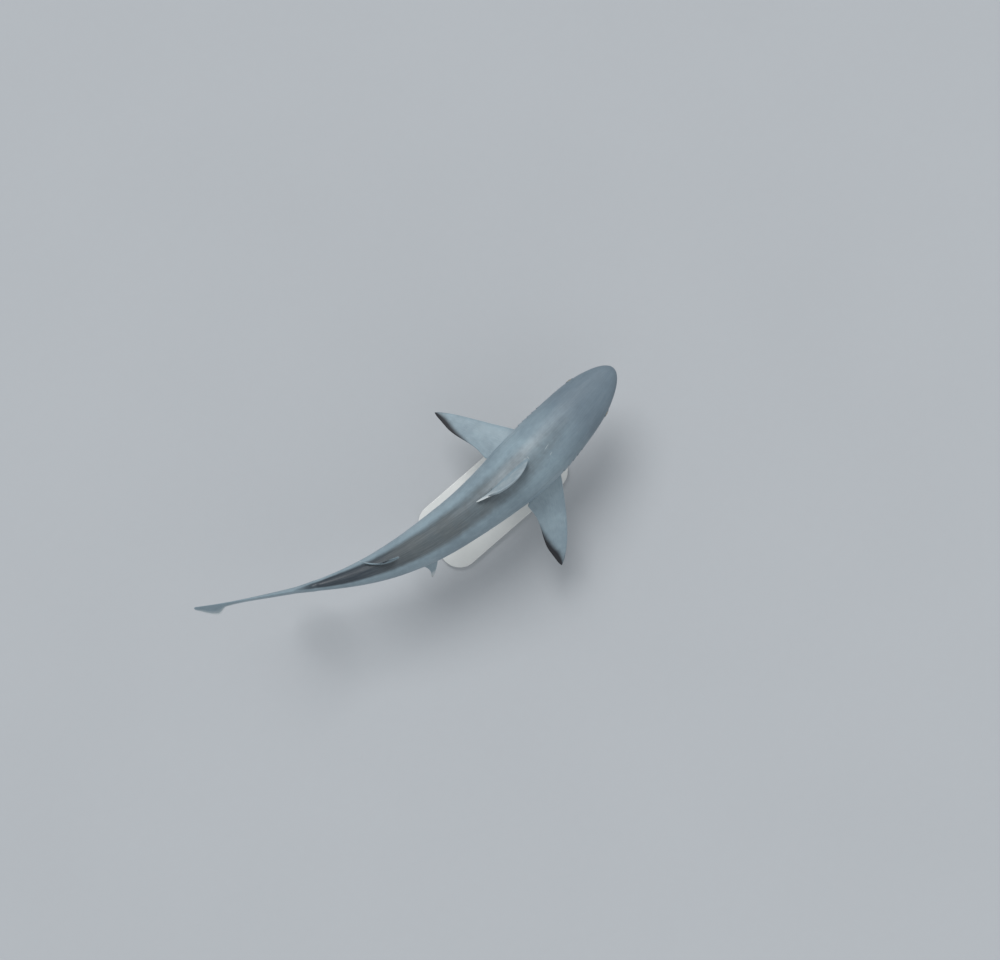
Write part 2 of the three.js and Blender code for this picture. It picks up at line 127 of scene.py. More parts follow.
# Metres of a point at a share of the midline, side to its left and up above the axis, both in
# millimetres.
def place(share, side, up):
    share, side, up = np.broadcast_arrays(np.asarray(share, float), side, up)
    at = np.clip(share, 0, 1) * midlineSteps
    beyond = (share - np.clip(share, 0, 1)) * body["length"]
    angle = valueAt(body["heading"], share) * degree
    steps = np.arange(midlineSteps + 1)
    x = np.interp(at, steps, midline[:, 0]) - beyond * np.cos(angle) - side * np.sin(angle)
    y = np.interp(at, steps, midline[:, 1]) - beyond * np.sin(angle) + side * np.cos(angle)
    return np.stack([x, y, body["axisHeight"] + up], -1) * mm


# Widest level, half width, height above or below it and roundness of the section, for the back or the
# belly.
def sectionSizes(share, onBack):
    roundness = np.where(onBack, *(valueAt(body[name], share) for name in ("backRound", "bellyRound")))
    reach = np.where(onBack, *(roundedAt(body[name], share) for name in ("backHeight", "bellyDepth")))
    return valueAt(body["widestLevel"], share), roundedAt(body["halfWidth"], share), reach, roundness


# A trunk section is two superellipse halves: side = width * |cos|^(2/n), rise = height * |sin|^(2/n).
def trunkSection(share, angle):
    sine, cosine = np.sin(angle), np.cos(angle)
    level, width, reach, roundness = sectionSizes(share, sine >= 0)
    side = width * np.sign(cosine) * np.abs(cosine) ** (2 / roundness)
    return side, level + reach * np.sign(sine) * np.abs(sine) ** (2 / roundness)


# Heights of the tail blade's two margins and the share of its reach, 0 at the stalk and 1 at the tip.
def bladeMargins(share):
    v = (share - body["stalkEnd"]) * body["length"] / tail["reach"]
    return v, valueAt(tail["top"], v), valueAt(tail["bottom"], v)


# A blade section: u = (1 - sin) / 2 runs down from the top margin, and half its thickness is the
# greater of the stem's swell and the thick join to the lower lobe, rounded off at both margins.
def bladeSection(share, angle):
    v, top, bottom = bladeMargins(share)
    along = np.clip(v, 0, 1)
    u = (1 - np.sin(angle)) / 2
    stem = roundedAt(body["halfWidth"], share) * (1 - along) ** 2 + tail["bladeWidth"] * along * (1 - along)
    swell = stem * np.sin(np.pi * u ** (1 - 0.35 * along)) ** (0.5 + 0.8 * along)
    join = tail["joinWidth"] * (1 - rampUp(*tail["joinFade"], v))
    half = tail["edge"] + (swell**4 + (join * u * u) ** 4) ** 0.25
    lowRim = np.clip((tail["edge"] + join) / (top - bottom), *tail["lowRim"])
    rim = quarterCircle(u / tail["topRim"]) * quarterCircle((1 - u) / lowRim)
    side = np.sign(np.cos(angle)) * half * rim - valueAt(tail["bendRight"], v) * u
    return side, top + (bottom - top) * u


# The whole smooth surface in body terms: trunk sections that pass into blade sections at the stalk's
# end.
def smoothSection(share, angle):
    blade = rampUp(body["stalkEnd"] - tail["blend"], body["stalkEnd"], share)
    side, up = trunkSection(share, angle)
    bladeSide, bladeUp = bladeSection(share, angle)
    return side + (bladeSide - side) * blade, up + (bladeUp - up) * blade


def smoothPoint(share, angle):
    return place(share, *smoothSection(share, angle))


# Outward normal: the cross product of the surface's two directions, by small differences.
def normalAt(share, angle):
    ahead = smoothPoint(share - 0.0008, angle) - smoothPoint(share + 0.0008, angle)
    around = smoothPoint(share, angle + 0.01) - smoothPoint(share, angle - 0.01)
    normal = np.cross(around, ahead)
    return normal / np.maximum(np.linalg.norm(normal, axis=-1, keepdims=True), 1e-12)


# Angle round the section of a point of the trunk near its surface.
def angleOf(share, side, up):
    level, width, reach, roundness = sectionSizes(share, up >= valueAt(body["widestLevel"], share))
    sine = np.sign(up - level) * (np.abs(up - level) / reach) ** (roundness / 2)
    cosine = np.sign(side) * (np.abs(side) / width) ** (roundness / 2)
    return np.arctan2(sine, cosine)


# Angle of the surface at a distance to the left of the midline, on the back or on the belly.
def angleAcross(share, side, onBack):
    _, width, _, roundness = sectionSizes(share, onBack)
    inward = np.clip(np.abs(side) / width, 0, 1) ** (roundness / 2)
    turn = np.sign(side) * (np.pi / 2 - np.arccos(inward))
    return np.pi / 2 - turn if onBack else turn - np.pi / 2


# Millimetres of surface for one radian round the section, at one place.
def roundScale(share, angle):
    step = smoothPoint(share, angle + 0.02) - smoothPoint(share, angle - 0.02)
    return float(np.linalg.norm(step)) / 0.04 / mm


# The angle as seen on the left side, -90 to 90 degrees, whichever side it is on.
def folded(angle):
    return np.arcsin(np.clip(np.sin(angle), -1, 1)) / degree


# ---- openings in the skin, with raised or sunken lines round them: [place, width, height] ----
eyes = {
    "share": 0.079, "angle": 5, "size": (14, 13.4, 7), "sunk": 4.4, "patch": (0.0135, 22),
    "lidAlong": 11.6, "lidHigh": 10.2, "lidRim": 0.9, "clear": 0.25, "lidCover": 0.5, "socketGap": 0.4,
    "ridges": [(1.1, 0.13, 0.9), (1.42, 0.16, -0.8)], "fold": [(1.75, 0.1, -0.5)], "foldReach": 8,
    # Ring sizes as parts of the lid's opening, each with how far the ring is lifted onto the ball.
    "outerRing": 1.75,
    "rings": [(1.56, 0), (1.42, 0), (1.34, 0.05), (1.27, 0.18), (1.2, 0.42), (1.12, 0.75), (1.06, 1)],
    "socketLatitudes": [26, 8, -18, -48, -72],
}
nostrils = {
    "share": 0.044, "side": 42, "halfLength": 10.5, "halfWidth": 2.6, "turn": 128, "flap": 1.1, "depth": 9,
    "ridges": [(10.5, 4, 0.8)], "patch": (0.0095, 17),
}
mouth = {
    "front": 0.073, "reach": 0.037, "halfSpan": 64, "halfWidth": 0.9, "depth": 9, "ends": 80,
    "rings": [11, 8.6, 6.6, 5, 3.6, 2.4, 1.5, 0.9],  # half widths of the rings that close in on the slit
    "spread": [0.12, 0.25, 0.4, 0.55, 0.7, 0.85, 1], "crowding": 0.2,
    "ridges": [(-6, 4.5, 1.1), (0, 2.6, -1.5), (7, 5, 0.9)], "lipFade": (0.7, 0.93),
    "patchFront": 0.011, "patchBack": 0.023, "patchAngle": 62,
}
gills = {
    "count": 5, "first": 0.166, "step": 0.0132, "low": -26, "lowRise": 17, "high": 17, "bow": 3,
    "halfWidth": 0.9, "depth": 11, "flap": 1.2, "flapReach": 17, "recess": 0.8, "recessReach": 8,
    "fadeFrom": 0.6, "margins": (3, 6),
}
rods = {"shares": [0.27, 0.47], "radius": 8, "socket": 26, "clear": 0.7, "patch": (0.0125, 11)}
pits = {"share": 0.7555, "depth": 2.2, "length": 4.5, "reach": 10, "spread": 0.5, "bend": 30}


# Angles of a gill slit's two ends, and its share at t, -1 at the low end and 1 at the high one: a
# shallow bow.
def gillEnds(k):
    return gills["low"] + gills["lowRise"] * (k / (gills["count"] - 1)) ** 1.3, gills["high"]


def gillShare(k, t):
    return gills["first"] + gills["step"] * k + gills["bow"] * (1 - np.clip(t, -1, 1) ** 2) / body["length"]


# Share of the mouth line at a distance from the middle: front + reach * (1 - cos a)^0.9, sin a = side /
# span.
def mouthShare(side):
    across = np.clip(np.abs(side) / mouth["halfSpan"], 0, np.sin(mouth["ends"] * degree))
    return mouth["front"] + mouth["reach"] * (1 - np.sqrt(1 - across**2)) ** 0.9


eyeScale = roundScale(eyes["share"], eyes["angle"] * degree)


# Millimetres that the skin stands out from the smooth surface: gill flaps, eyelids, lips, nostril rims
# and the pits before the tail.
def relief(share, angle):
    lift = folded(angle)
    height = np.zeros(np.broadcast(share, angle).shape)
    for k in range(gills["count"]):
        low, high = gillEnds(k)
        t = 2 * (lift - low) / (high - low) - 1
        behind = (share - gillShare(k, t)) * body["length"]
        flap = gills["flap"] * rampUp(-gills["flapReach"], 0, behind)
        recess = gills["recess"] * (1 - rampUp(0, gills["recessReach"], behind))
        height += (1 - rampUp(gills["fadeFrom"], 1, np.abs(t))) * np.where(behind < 0, flap, -recess)
    rise = (lift - eyes["angle"]) * eyeScale * degree
    ring = np.hypot((share - eyes["share"]) * body["length"] / eyes["lidAlong"], rise / eyes["lidHigh"])
    height += ridges(ring, eyes["ridges"]) + ridges(ring, eyes["fold"]) * rampUp(0, eyes["foldReach"], -rise)
    side, _ = trunkSection(share, angle)
    away, below = np.abs(side), rampUp(0, -12, lift)
    slope = (mouthShare(away + 1) - mouthShare(away - 1)) * body["length"] / 2
    gap = (share - mouthShare(side)) * body["length"] / np.sqrt(1 + slope**2)
    inside = 1 - rampUp(*(part * mouth["halfSpan"] for part in mouth["lipFade"]), away)
    height += below * inside * ridges(gap, mouth["ridges"])
    nose = np.hypot((share - nostrils["share"]) * body["length"], away - nostrils["side"])
    height += below * ridges(nose, nostrils["ridges"])
    aside = (90 - np.abs(lift)) * pits["spread"]
    behind = (share - pits["share"]) * body["length"] - aside**2 / pits["bend"]
    return height - pits["depth"] * bump(behind, pits["length"]) * bump(aside, pits["reach"])


def skinPoint(share, angle):
    return smoothPoint(share, angle) + normalAt(share, angle) * relief(share, angle)[..., None] * mm


# ---- fins: v runs from root to tip, chord from the leading edge to the trailing edge ----
# leading, trailing: millimetres behind the origin. tip: millimetres inside the black tip. pale: as in
# the marks. patch: the shares and angles of skin that a fin grows from. rows: see finRows.
largeRows, smallRows = (0.12, 10, 23, 6), (0.2, 8, 12, 5)
fins = {
    "pectoral": {
        "origin": 0.217, "side": 80, "drop": -50, "span": 270, "droop": [20, 20], "twist": [0.5, -3],
        "thickness": 15, "fillet": 8, "patch": (0.2122, 0.2885, -42.5, -17.5), "rows": largeRows,
        "leading": lambda v: 184 * (0.87 * v + 0.13 * v**6),
        "trailing": lambda v: 96 + 64 * rampUp(0, 0.1, v) + 32 * rampUp(0.22, 0.75, v),
        "tip": lambda v, chord: (v - 0.98 + 0.56 * chord**2.6) * 130,
    },
    "pelvic": {
        "origin": 0.506, "side": 34, "drop": -62, "span": 84, "droop": [66, 30], "twist": [0, 0],
        "thickness": 7, "fillet": 4, "patch": (0.5, 0.5575, -74, -40), "rows": smallRows, "paleTip": 36,
        "leading": lambda v: 64 * (0.85 * v + 0.15 * v**5),
        "trailing": lambda v: valueAt([[0, 68], [0.16, 102], [0.45, 71], [0.7, 64], [1, 70]], v),
        "tip": lambda v, chord: (v - 1.02 + 0.03 * chord) * 84,
    },
    "firstDorsal": {
        "origin": 0.256, "span": 182, "thickness": 13, "leanRight": 21, "tipLeft": 13, "fillet": 9,
        # its pale of -4 whitens both faces a little: painted light, standing in for the sunlit face
        "pale": -4, "patch": (0.2475, 0.3565, 76, 104), "rows": largeRows,
        "leading": lambda v: 166 * (0.62 * v + 0.38 * v**2.4),
        "trailing": lambda v: valueAt(
            [[0, 146], [0.05, 212], [0.2, 168], [0.42, 141], [0.62, 139], [0.82, 151], [1, 169]], v
        ),
        "tip": lambda v, chord: (v - 0.96 + 0.25 * chord**4) * 182,
    },
    "secondDorsal": {
        "origin": 0.579, "span": 50, "thickness": 5, "leanRight": -4, "tipLeft": 32, "fillet": 4,
        "pale": -30, "patch": (0.5745, 0.6255, 76, 104), "rows": smallRows,
        "leading": lambda v: 48 * (0.6 * v + 0.4 * v**2),
        "trailing": lambda v: valueAt([[0, 66], [0.12, 130], [0.35, 82], [0.65, 54], [1, 51]], v),
        "tip": lambda v, chord: (v - 0.6 + 0.08 * chord) * 50,
    },
    "anal": {
        "origin": 0.59, "span": 58, "thickness": 5, "leanRight": 0, "tipLeft": 6, "fillet": 4,
        "pale": 4, "patch": (0.5855, 0.638, -104, -76), "rows": smallRows,
        "leading": lambda v: 60 * (0.7 * v + 0.3 * v**2),
        "trailing": lambda v: valueAt([[0, 68], [0.13, 114], [0.35, 70], [0.6, 53], [1, 65]], v),
        "tip": lambda v, chord: (v - 1.3) * 58,
    },
    "lowerLobe": {  # its leading and trailing edges are given as distance behind the stalk's end and height
        "span": 190, "thickness": 10, "fillet": 4, "inset": 3, "pale": -30,
        "patch": (0.758, 0.861, -132, -48), "rows": (0.1, 7, 20, 5),
        "leading": lambda v: (2 + 116 * (0.75 * v + 0.25 * v**3), -12 - 138 * v),
        "trailing": lambda v: (113 + 37 * (1 - v) ** 3 + 6 * np.maximum(v, 0) ** 6, 45 - 195 * v),
        "tip": lambda v, chord: (v - 0.84 + 0.06 * chord + 0.05 * chord**6) * 190,
    },
}
finShape = {
    "edge": 0.6, "swell": 2.6, "taper": 0.75, "lobeTaper": 0.8, "frontRim": 0.03, "rearRim": 0.01,
    "roundTip": 0.06,  # share of a fin's span that its tip's rounding takes
    "tipFlat": 0.12, "bow": 0.83,
}


# Half the thickness of a fin's section: thick * swell * sqrt(chord) * (1 - chord), and an edge rounded
# off by quarter circles.
def finHalf(thick, chord):
    rim = quarterCircle(chord / finShape["frontRim"]) * quarterCircle((1 - chord) / finShape["rearRim"])
    return thick * finShape["swell"] * np.sqrt(chord) * (1 - chord) + finShape["edge"] * rim


# Distance behind the fin's origin and offset from its middle plane; the chord shortens as the tip
# rounds off.
def finSection(fin, v, chord, face):
    outward = np.maximum(v, 0)
    front, rear = fin["leading"](outward), fin["trailing"](outward)
    close = quarterCircle((1 - v) / finShape["roundTip"])
    thick = np.maximum(fin["thickness"] * (1 - finShape["taper"] * outward) / 2 * close, finShape["edge"])
    chordSeen = 0.5 + (chord - 0.5) * (finShape["tipFlat"] + (1 - finShape["tipFlat"]) * close)
    return front + (rear - front) * chordSeen, face * finHalf(thick, chord)


# Share, side and height of a paired fin's point: the section turned by its droop and twist, swept out
# from the flank.
def pairedPoint(fin, left, v, chord, face):
    back, off = finSection(fin, v, chord, face)
    droop, twist = (fin[name][0 if left else 1] * degree for name in ("droop", "twist"))
    out, outward = v * fin["span"], np.maximum(v, 0)
    turnedBack = back * np.cos(twist) - out * np.sin(twist) * (v > 0)
    turnedOut = out * np.cos(twist) + back * np.sin(twist) * outward
    side = fin["side"] + turnedOut * np.cos(droop) + off * np.sin(droop)
    up = fin["drop"] - turnedOut * np.sin(droop) + off * np.cos(droop)
    return fin["origin"] + turnedBack / body["length"], side if left else -side, up


# The same for a fin in the body's middle plane: it bows sideways as sin(0.83 pi v), and curls as the
# cube of the distance back.
def middlePoint(fin, onBack, v, chord, face):
    back, off = finSection(fin, v, chord, face)
    share = fin["origin"] + back / body["length"]
    lean = -fin["leanRight"] * np.sin(finShape["bow"] * np.pi * np.maximum(v, 0))
    curl = fin["tipLeft"] * np.maximum(back / fin["trailing"](0.08), 0) ** 3
    level, _, reach, _ = sectionSizes(share, onBack)
    rise = reach + v * fin["span"]
    return share, off + lean + curl, level + (rise if onBack else -rise)


# The lower tail lobe: sections between its front and rear margins, which both run down and back.
def lowerLobePoint(v, chord, face):
    lobe = fins["lowerLobe"]
    (frontBack, frontUp), (rearBack, rearUp) = lobe["leading"](v), lobe["trailing"](v)
    thick = lobe["thickness"] / 2 * (1 - finShape["lobeTaper"] * np.maximum(v, 0))
    share = body["stalkEnd"] + (frontBack + (rearBack - frontBack) * chord) / body["length"]
    return share, face * finHalf(thick, chord), frontUp + (rearUp - frontUp) * chord


# ---- markings, carried by every point of the skin ----
# back: 1 on the dark band along the back. rear: 1 where that band is darkest. pale: millimetres inside
# the white of the underside, less than 0 above it. ink: millimetres inside a black fin tip.
# poresAndRecessShade: painted shade, 1 in a slit or other hollow, where the skin is painted darker.
# head: 1 on the snout and cheeks. sideLine: millimetres above the fine line of pores along the flank.
# rayAcross, rayOut: distance across and along a fin's rays or the body's faint streaks. raySeen: 1 on a fin.
markNames = ["back", "rear", "pale", "ink", "poresAndRecessShade", "head", "sideLine", "rayAcross", "rayOut", "raySeen"]
pattern = {
    "bandLow": [
        [0, 72], [0.15, 60], [0.3, 44], [0.45, 42], [0.6, 42], [0.7, 38], [0.765, 44], [0.8, 62],
        [0.86, 90], [1, 100],
    ],
    "bandSoft": 30,
    "bandSeen": [
        [0.08, 0], [0.2, 0.42], [0.32, 0.6], [0.45, 0.85], [0.6, 1], [0.73, 1], [0.82, 0.2], [0.88, 0],
    ],
    "bandRear": (0.5, 0.7),
    "bandLeft": [[0.3, 0], [0.5, 3], [0.7, 10], [0.8, 16]],
    "paleEdge": [
        [0, -20], [0.05, -18], [0.1, -22], [0.2, -29], [0.25, -34], [0.3, -36], [0.4, -34], [0.5, -30],
        [0.6, -26], [0.7, -23], [0.765, -20], [0.8, -24], [0.9, -32], [1, -45],
    ],
    "wedgeStart": 0.33, "wedgeSlope": 0.7, "wedgeFull": 1,
    "wedgeMiddle": [[0.33, 0], [0.42, -5], [0.5, -13], [0.6, -22]],
    "wedgeHalf": [[0.33, -6], [0.42, 3], [0.5, 9], [0.6, 9], [0.68, -8]],
    "noInk": -60,
    "headFade": (0.1, 0.24),
    "sideLine": [[0.2, 30], [0.3, 25], [0.45, 20], [0.6, 15], [0.72, 9], [0.78, 6]],
    "sideLineStart": (0.215, 0.26), "sideLineEnd": (0.7, 0.77), "sideLineFar": 60,
    "streakAcross": 0.42, "streakAlong": 0.5,
    "finPale": 26, "rearTipPale": 6, "rayAcross": 0.6,
}


# A row of marks for each point; marks that are not given are 0.
def markRows(shape, **given):
    return np.stack([np.broadcast_to(given.get(name, 0.0), shape) for name in markNames], -1)


def bodyMarks(share, angle):
    lift = folded(angle)
    scale = (roundedAt(body["halfWidth"], share) + roundedAt(body["bellyDepth"], share)) / 2 * degree
    low = valueAt(pattern["bandLow"], share) - np.cos(angle) * valueAt(pattern["bandLeft"], share)
    back = rampUp(low, low + pattern["bandSoft"], lift) * valueAt(pattern["bandSeen"], share)
    wedge = valueAt(pattern["wedgeHalf"], share) - np.abs(lift - valueAt(pattern["wedgeMiddle"], share))
    wedge = np.minimum(wedge * scale * pattern["wedgeSlope"], pattern["wedgeFull"])
    wedge = np.where(share > pattern["wedgeStart"], wedge, pattern["noInk"])
    pale = np.maximum((valueAt(pattern["paleEdge"], share) - lift) * scale, wedge)
    seen = rampUp(*pattern["sideLineStart"], share) * (1 - rampUp(*pattern["sideLineEnd"], share))
    above = (lift - valueAt(pattern["sideLine"], share)) * scale
    return markRows(
        back.shape, back=back, rear=rampUp(*pattern["bandRear"], share), pale=pale, ink=pattern["noInk"],
        head=1 - rampUp(*pattern["headFade"], share), sideLine=above / np.maximum(seen, 0.005),
        rayAcross=lift * pattern["streakAcross"],
        rayOut=(share - 1) * body["length"] * pattern["streakAlong"],
    )


# A paired fin is white below, up to just short of its edges; the dorsal fins' free rear tips are pale.
def finMarks(name, face, v, chord):
    fin, shape = fins[name], np.broadcast(v, chord).shape
    if "pale" in fin:
        pale = np.full(shape, float(fin["pale"]))
    else:
        pale = -pattern["finPale"] * face * np.clip(chord * 12, 0, 1) * np.clip((1 - chord) * 30, 0, 1)
        pale = pale + fin.get("paleTip", 0) * np.maximum(v, 0) ** 2
    dorsal = name.endswith("Dorsal")
    if dorsal:
        pale += (pattern["rearTipPale"] - pale) * rampUp(0.72, 1, chord) * (1 - rampUp(0.1, 0.4, v))
    return markRows(
        shape, pale=pale, ink=fin["tip"](v, chord), sideLine=pattern["sideLineFar"] * (1 if dorsal else -1),
        rayAcross=chord * fin["span"] * pattern["rayAcross"], rayOut=v * fin["span"], raySeen=1,
    )


# ---- the skin: one closed mesh, a grid of sections with every opening and fin joined in ----
grid = {
    "around": 144, "noseRows": 24, "noseEnd": 0.04, "tailEnd": 0.984,
    "spacing": [
        [0.04, 2.5], [0.06, 1.7], [0.095, 1.7], [0.12, 2.4], [0.16, 2.64], [0.226, 2.64], [0.26, 4.4],
        [0.5, 5], [0.62, 4.4], [0.76, 4.2], [0.8, 3.8], [1, 3.8],
    ],
}
skin = {"points": [], "marks": [], "faces": [], "count": 0}
stepRound = 2 * np.pi / grid["around"]


# Shares of the rows: the nose as x^2, then steps of the wanted millimetres, found by adding up rows per
# millimetre.
def rowShares():
    nose = grid["noseEnd"] * (np.arange(1, grid["noseRows"] + 1) / (grid["noseRows"] + 1)) ** 2
    fine = np.linspace(grid["noseEnd"], grid["tailEnd"], 4000)
    rows = np.cumsum(np.gradient(fine) * body["length"] / valueAt(grid["spacing"], fine))
    rows -= rows[0]
    return np.concatenate([nose, np.interp(np.linspace(0, rows[-1], round(rows[-1]) + 1), rows, fine)])


rows = rowShares()


def addPoints(points, marks):
    ids = skin["count"] + np.arange(len(points))
    skin["points"].append(points)
    skin["marks"].append(marks)
    skin["count"] += len(points)
    return ids


# Adds the next loop further in, out or along, in the same order, and the faces between the two.
def nextRing(outer, points, marks):
    inner = addPoints(points, marks)
    skin["faces"].append(np.stack([outer, inner, np.roll(inner, -1), np.roll(outer, -1)], -1))
    return inner


def addPole(loop, point, mark):
    pole = np.full(len(loop), addPoints(point[None], mark[None])[0])
    skin["faces"].append(np.stack([np.roll(loop, -1), loop, pole], -1))


# Sews a flat loop shut, point k to point n - k.
def addSeam(loop):
    half = len(loop) // 2
    k = np.arange(1, half - 1)
    ends = [[loop[1], loop[0], loop[-1]], [loop[half], loop[half - 1], loop[half + 1]]]
    skin["faces"] += [np.stack([loop[k + 1], loop[k], loop[-k], loop[-k - 1]], -1), np.array(ends)]


def mirrored(lowAngle, highAngle, left):
    return (lowAngle, highAngle) if left else (180 - highAngle, 180 - lowAngle)


# Takes out the grid's faces between two shares and two angles, an even number of rows and of columns,
# and gives the hole's rim from the middle of its first row towards higher angles: shares, angles, grid
# ids and way, the direction of each point from the middle, 0 towards the tail and a quarter turn
# towards higher angles. For a fin, chord runs from 0 in front to 1 behind, and face is 1 on the side of
# the higher angles.
def cutPatch(lowShare, highShare, lowAngle, highAngle):
    i0, i1 = (int(np.argmin(np.abs(rows - share))) for share in (lowShare, highShare))
    j0, j1 = (int(round(angle * degree / stepRound)) for angle in (lowAngle, highAngle))
    i1, j1 = i1 + (i1 - i0) % 2, j1 + (j1 - j0) % 2
    skin["kept"][i0:i1, np.arange(j0, j1) % grid["around"]] = False
    im, jm = (i0 + i1) // 2, (j0 + j1) // 2
    i = np.concatenate([
        np.full(j1 - jm, i0), np.arange(i0, i1), np.full(j1 - j0, i1), np.arange(i1, i0, -1),
        np.full(jm - j0, i0),
    ])
    j = np.concatenate([
        np.arange(jm, j1), np.full(i1 - i0, j1), np.arange(j1, j0, -1), np.full(i1 - i0, j0),
        np.arange(j0, jm),
    ])
    way = np.arctan2((j - jm) / (j1 - jm), (i - im) / (i1 - im))
    ids = skin["grid"][i, j % grid["around"]]
    chord, face = (1 + np.cos(way)) / 2, np.sign(np.sin(way))
    return {"share": rows[i], "angle": j * stepRound, "ids": ids, "way": way, "chord": chord, "face": face}


def cutRound(share, angle, reach):
    return cutPatch(share - reach[0], share + reach[0], angle - reach[1], angle + reach[1])


# Rings on the body's surface from one loop to the next, at the given parts of the way.
def nextLoop(loop, share, angle, parts=(1,)):
    ids = loop["ids"]
    for part in parts:
        ringShare = loop["share"] + (share - loop["share"]) * part
        ringAngle = loop["angle"] + (angle - loop["angle"]) * part
        ids = nextRing(ids, skinPoint(ringShare, ringAngle), bodyMarks(ringShare, ringAngle))
    return {"share": share, "angle": angle, "ids": ids}


# Carries a loop inwards through rings painted ever darker, as painted shade deep in the hollow, and closes
# it at a pole, or by a seam from the given start.
def sinkIn(loop, rings, seamStart=None):
    ids = loop["ids"]
    for k, ring in enumerate(rings):
        marks = bodyMarks(loop["share"], loop["angle"])
        # painted shade: each ring further into the hollow is painted darker
        marks[:, markNames.index("poresAndRecessShade")] = min(1, 0.5 + 0.5 * k)
        ids = nextRing(ids, ring, marks)
    if seamStart is None:
        addPole(ids, rings[-1].mean(0), marks[0])
    else:
        addSeam(np.roll(ids, -seamStart))


# Local frame of an eye, as the solids have it: centre, and its forward, upward and outward directions.
def eyeFrame(left):
    side = 1 if left else -1
    angle = (eyes["angle"] if left else 180 - eyes["angle"]) * degree
    at = smoothPoint(eyes["share"], angle)
    forward = smoothPoint(eyes["share"] - 0.004, angle) - at
    outward = np.cross(forward, smoothPoint(eyes["share"], angle + side * 0.1) - at) * -side
    forward, outward = forward / np.linalg.norm(forward), outward / np.linalg.norm(outward)
    return at - outward * eyes["sunk"] * mm, np.stack([forward, np.cross(forward, outward) * side, outward])


# Height of a flattened dome of the given sizes: deep * sqrt(1 - (x / along)^2 - (y / high)^2).
def domeHeight(sizes, x, y):
    return sizes[2] * np.sqrt(np.maximum(1 - (x / sizes[0]) ** 2 - (y / sizes[1]) ** 2, 0))


# An eye opening: rings on the cheek that rise round the ball, the lid's rounded lip, then the socket,
# an ellipsoid just clear of the ball.
def openEye(left):
    side = 1 if left else -1
    middle = eyes["angle"] if left else 180 - eyes["angle"]
    loop = cutRound(eyes["share"], middle, eyes["patch"])
    along, rise = -np.cos(loop["way"]), np.sin(loop["way"]) * side
    centre, axes = eyeFrame(left)
    x, y = along * eyes["lidAlong"], rise * eyes["lidHigh"]

    def fromEye(x, y, z):
        return centre + np.stack([x, y, z], -1) @ axes * mm

    def ringAt(size):
        return eyes["share"] - x * size / body["length"], middle * degree + side * y * size / eyeScale

    lip = np.maximum(domeHeight(eyes["size"], x, y) + eyes["clear"], eyes["sunk"] - 0.5)
    socket = np.array(eyes["size"]) + eyes["socketGap"]
    loop = nextLoop(loop, *ringAt(eyes["outerRing"]), [0.5, 1])
    for size, lifted in eyes["rings"]:
        share, angle = ringAt(size)
        points = skinPoint(share, angle)
        points += (fromEye(x * size, y * size, lip + eyes["lidRim"] * (1 - lifted * 0.25)) - points) * lifted
        # No point of a ring may lie under the socket's wall.
        at = (points - centre) @ axes.T / mm
        under = 1 - (at[:, 0] / socket[0]) ** 2 - (at[:, 1] / socket[1]) ** 2
        cover = np.maximum(domeHeight(socket, at[:, 0], at[:, 1]) + eyes["lidCover"] - at[:, 2], 0)
        points += (cover * rampUp(-0.5, -0.1, under))[:, None] * axes[2] * mm
        ids = nextRing(loop["ids"], points, bodyMarks(share, angle))
        loop = {"share": share, "angle": angle, "ids": ids}
    rings = [fromEye(x * 1.015, y * 1.015, lip + 0.4), fromEye(x, y, lip)]
    for latitude in np.array(eyes["socketLatitudes"]) * degree:
        flat, deep = np.cos(latitude), np.sin(latitude) * socket[2] + 0 * along
        rings.append(fromEye(along * socket[0] * flat, rise * socket[1] * flat, deep))
    sinkIn(loop, rings)


# A nostril: a slanting slit whose front edge swells into a flap, sunk into a short cup.
def openNostril(left):
    side, share = 1 if left else -1, nostrils["share"]
    middle = float(angleAcross(share, side * nostrils["side"], False))
    scale = roundScale(share, middle)
    reach, span = nostrils["patch"]
    loop = cutRound(share, middle / degree, (reach, span / scale / degree))
    turn = nostrils["turn"] * degree * side
    way = loop["way"] - turn

    def loopAt(grow):
        along = np.cos(way) * nostrils["halfLength"] * grow
        closing = nostrils["flap"] * np.clip((1.45 - grow) / 0.45, 0, 1) ** 1.5
        flap = np.where(np.sin(way) * side > 0, closing * bump(np.cos(way) - 0.1, 0.42), 0)
        across = np.sin(way) * nostrils["halfWidth"] * (grow * 1.4 - 0.4) * (1 - flap)
        back = along * np.cos(turn) - across * np.sin(turn)
        around = along * np.sin(turn) + across * np.cos(turn)
        return share + back / body["length"], middle + around / scale

    for grow, parts in [(1.45, [0.5, 1]), (1.2, [1]), (1.06, [1]), (1, [1])]:
        loop = nextLoop(loop, *loopAt(grow), parts)
    inward = normalAt(*loopAt(1)) * -mm
    rings = [skinPoint(*loopAt(0.96)) + inward * 1.2]
    rings += [smoothPoint(*loopAt(0.9 - 0.05 * k)) + inward * nostrils["depth"] * k / 3 for k in (1, 2, 3)]
    sinkIn(loop, rings)


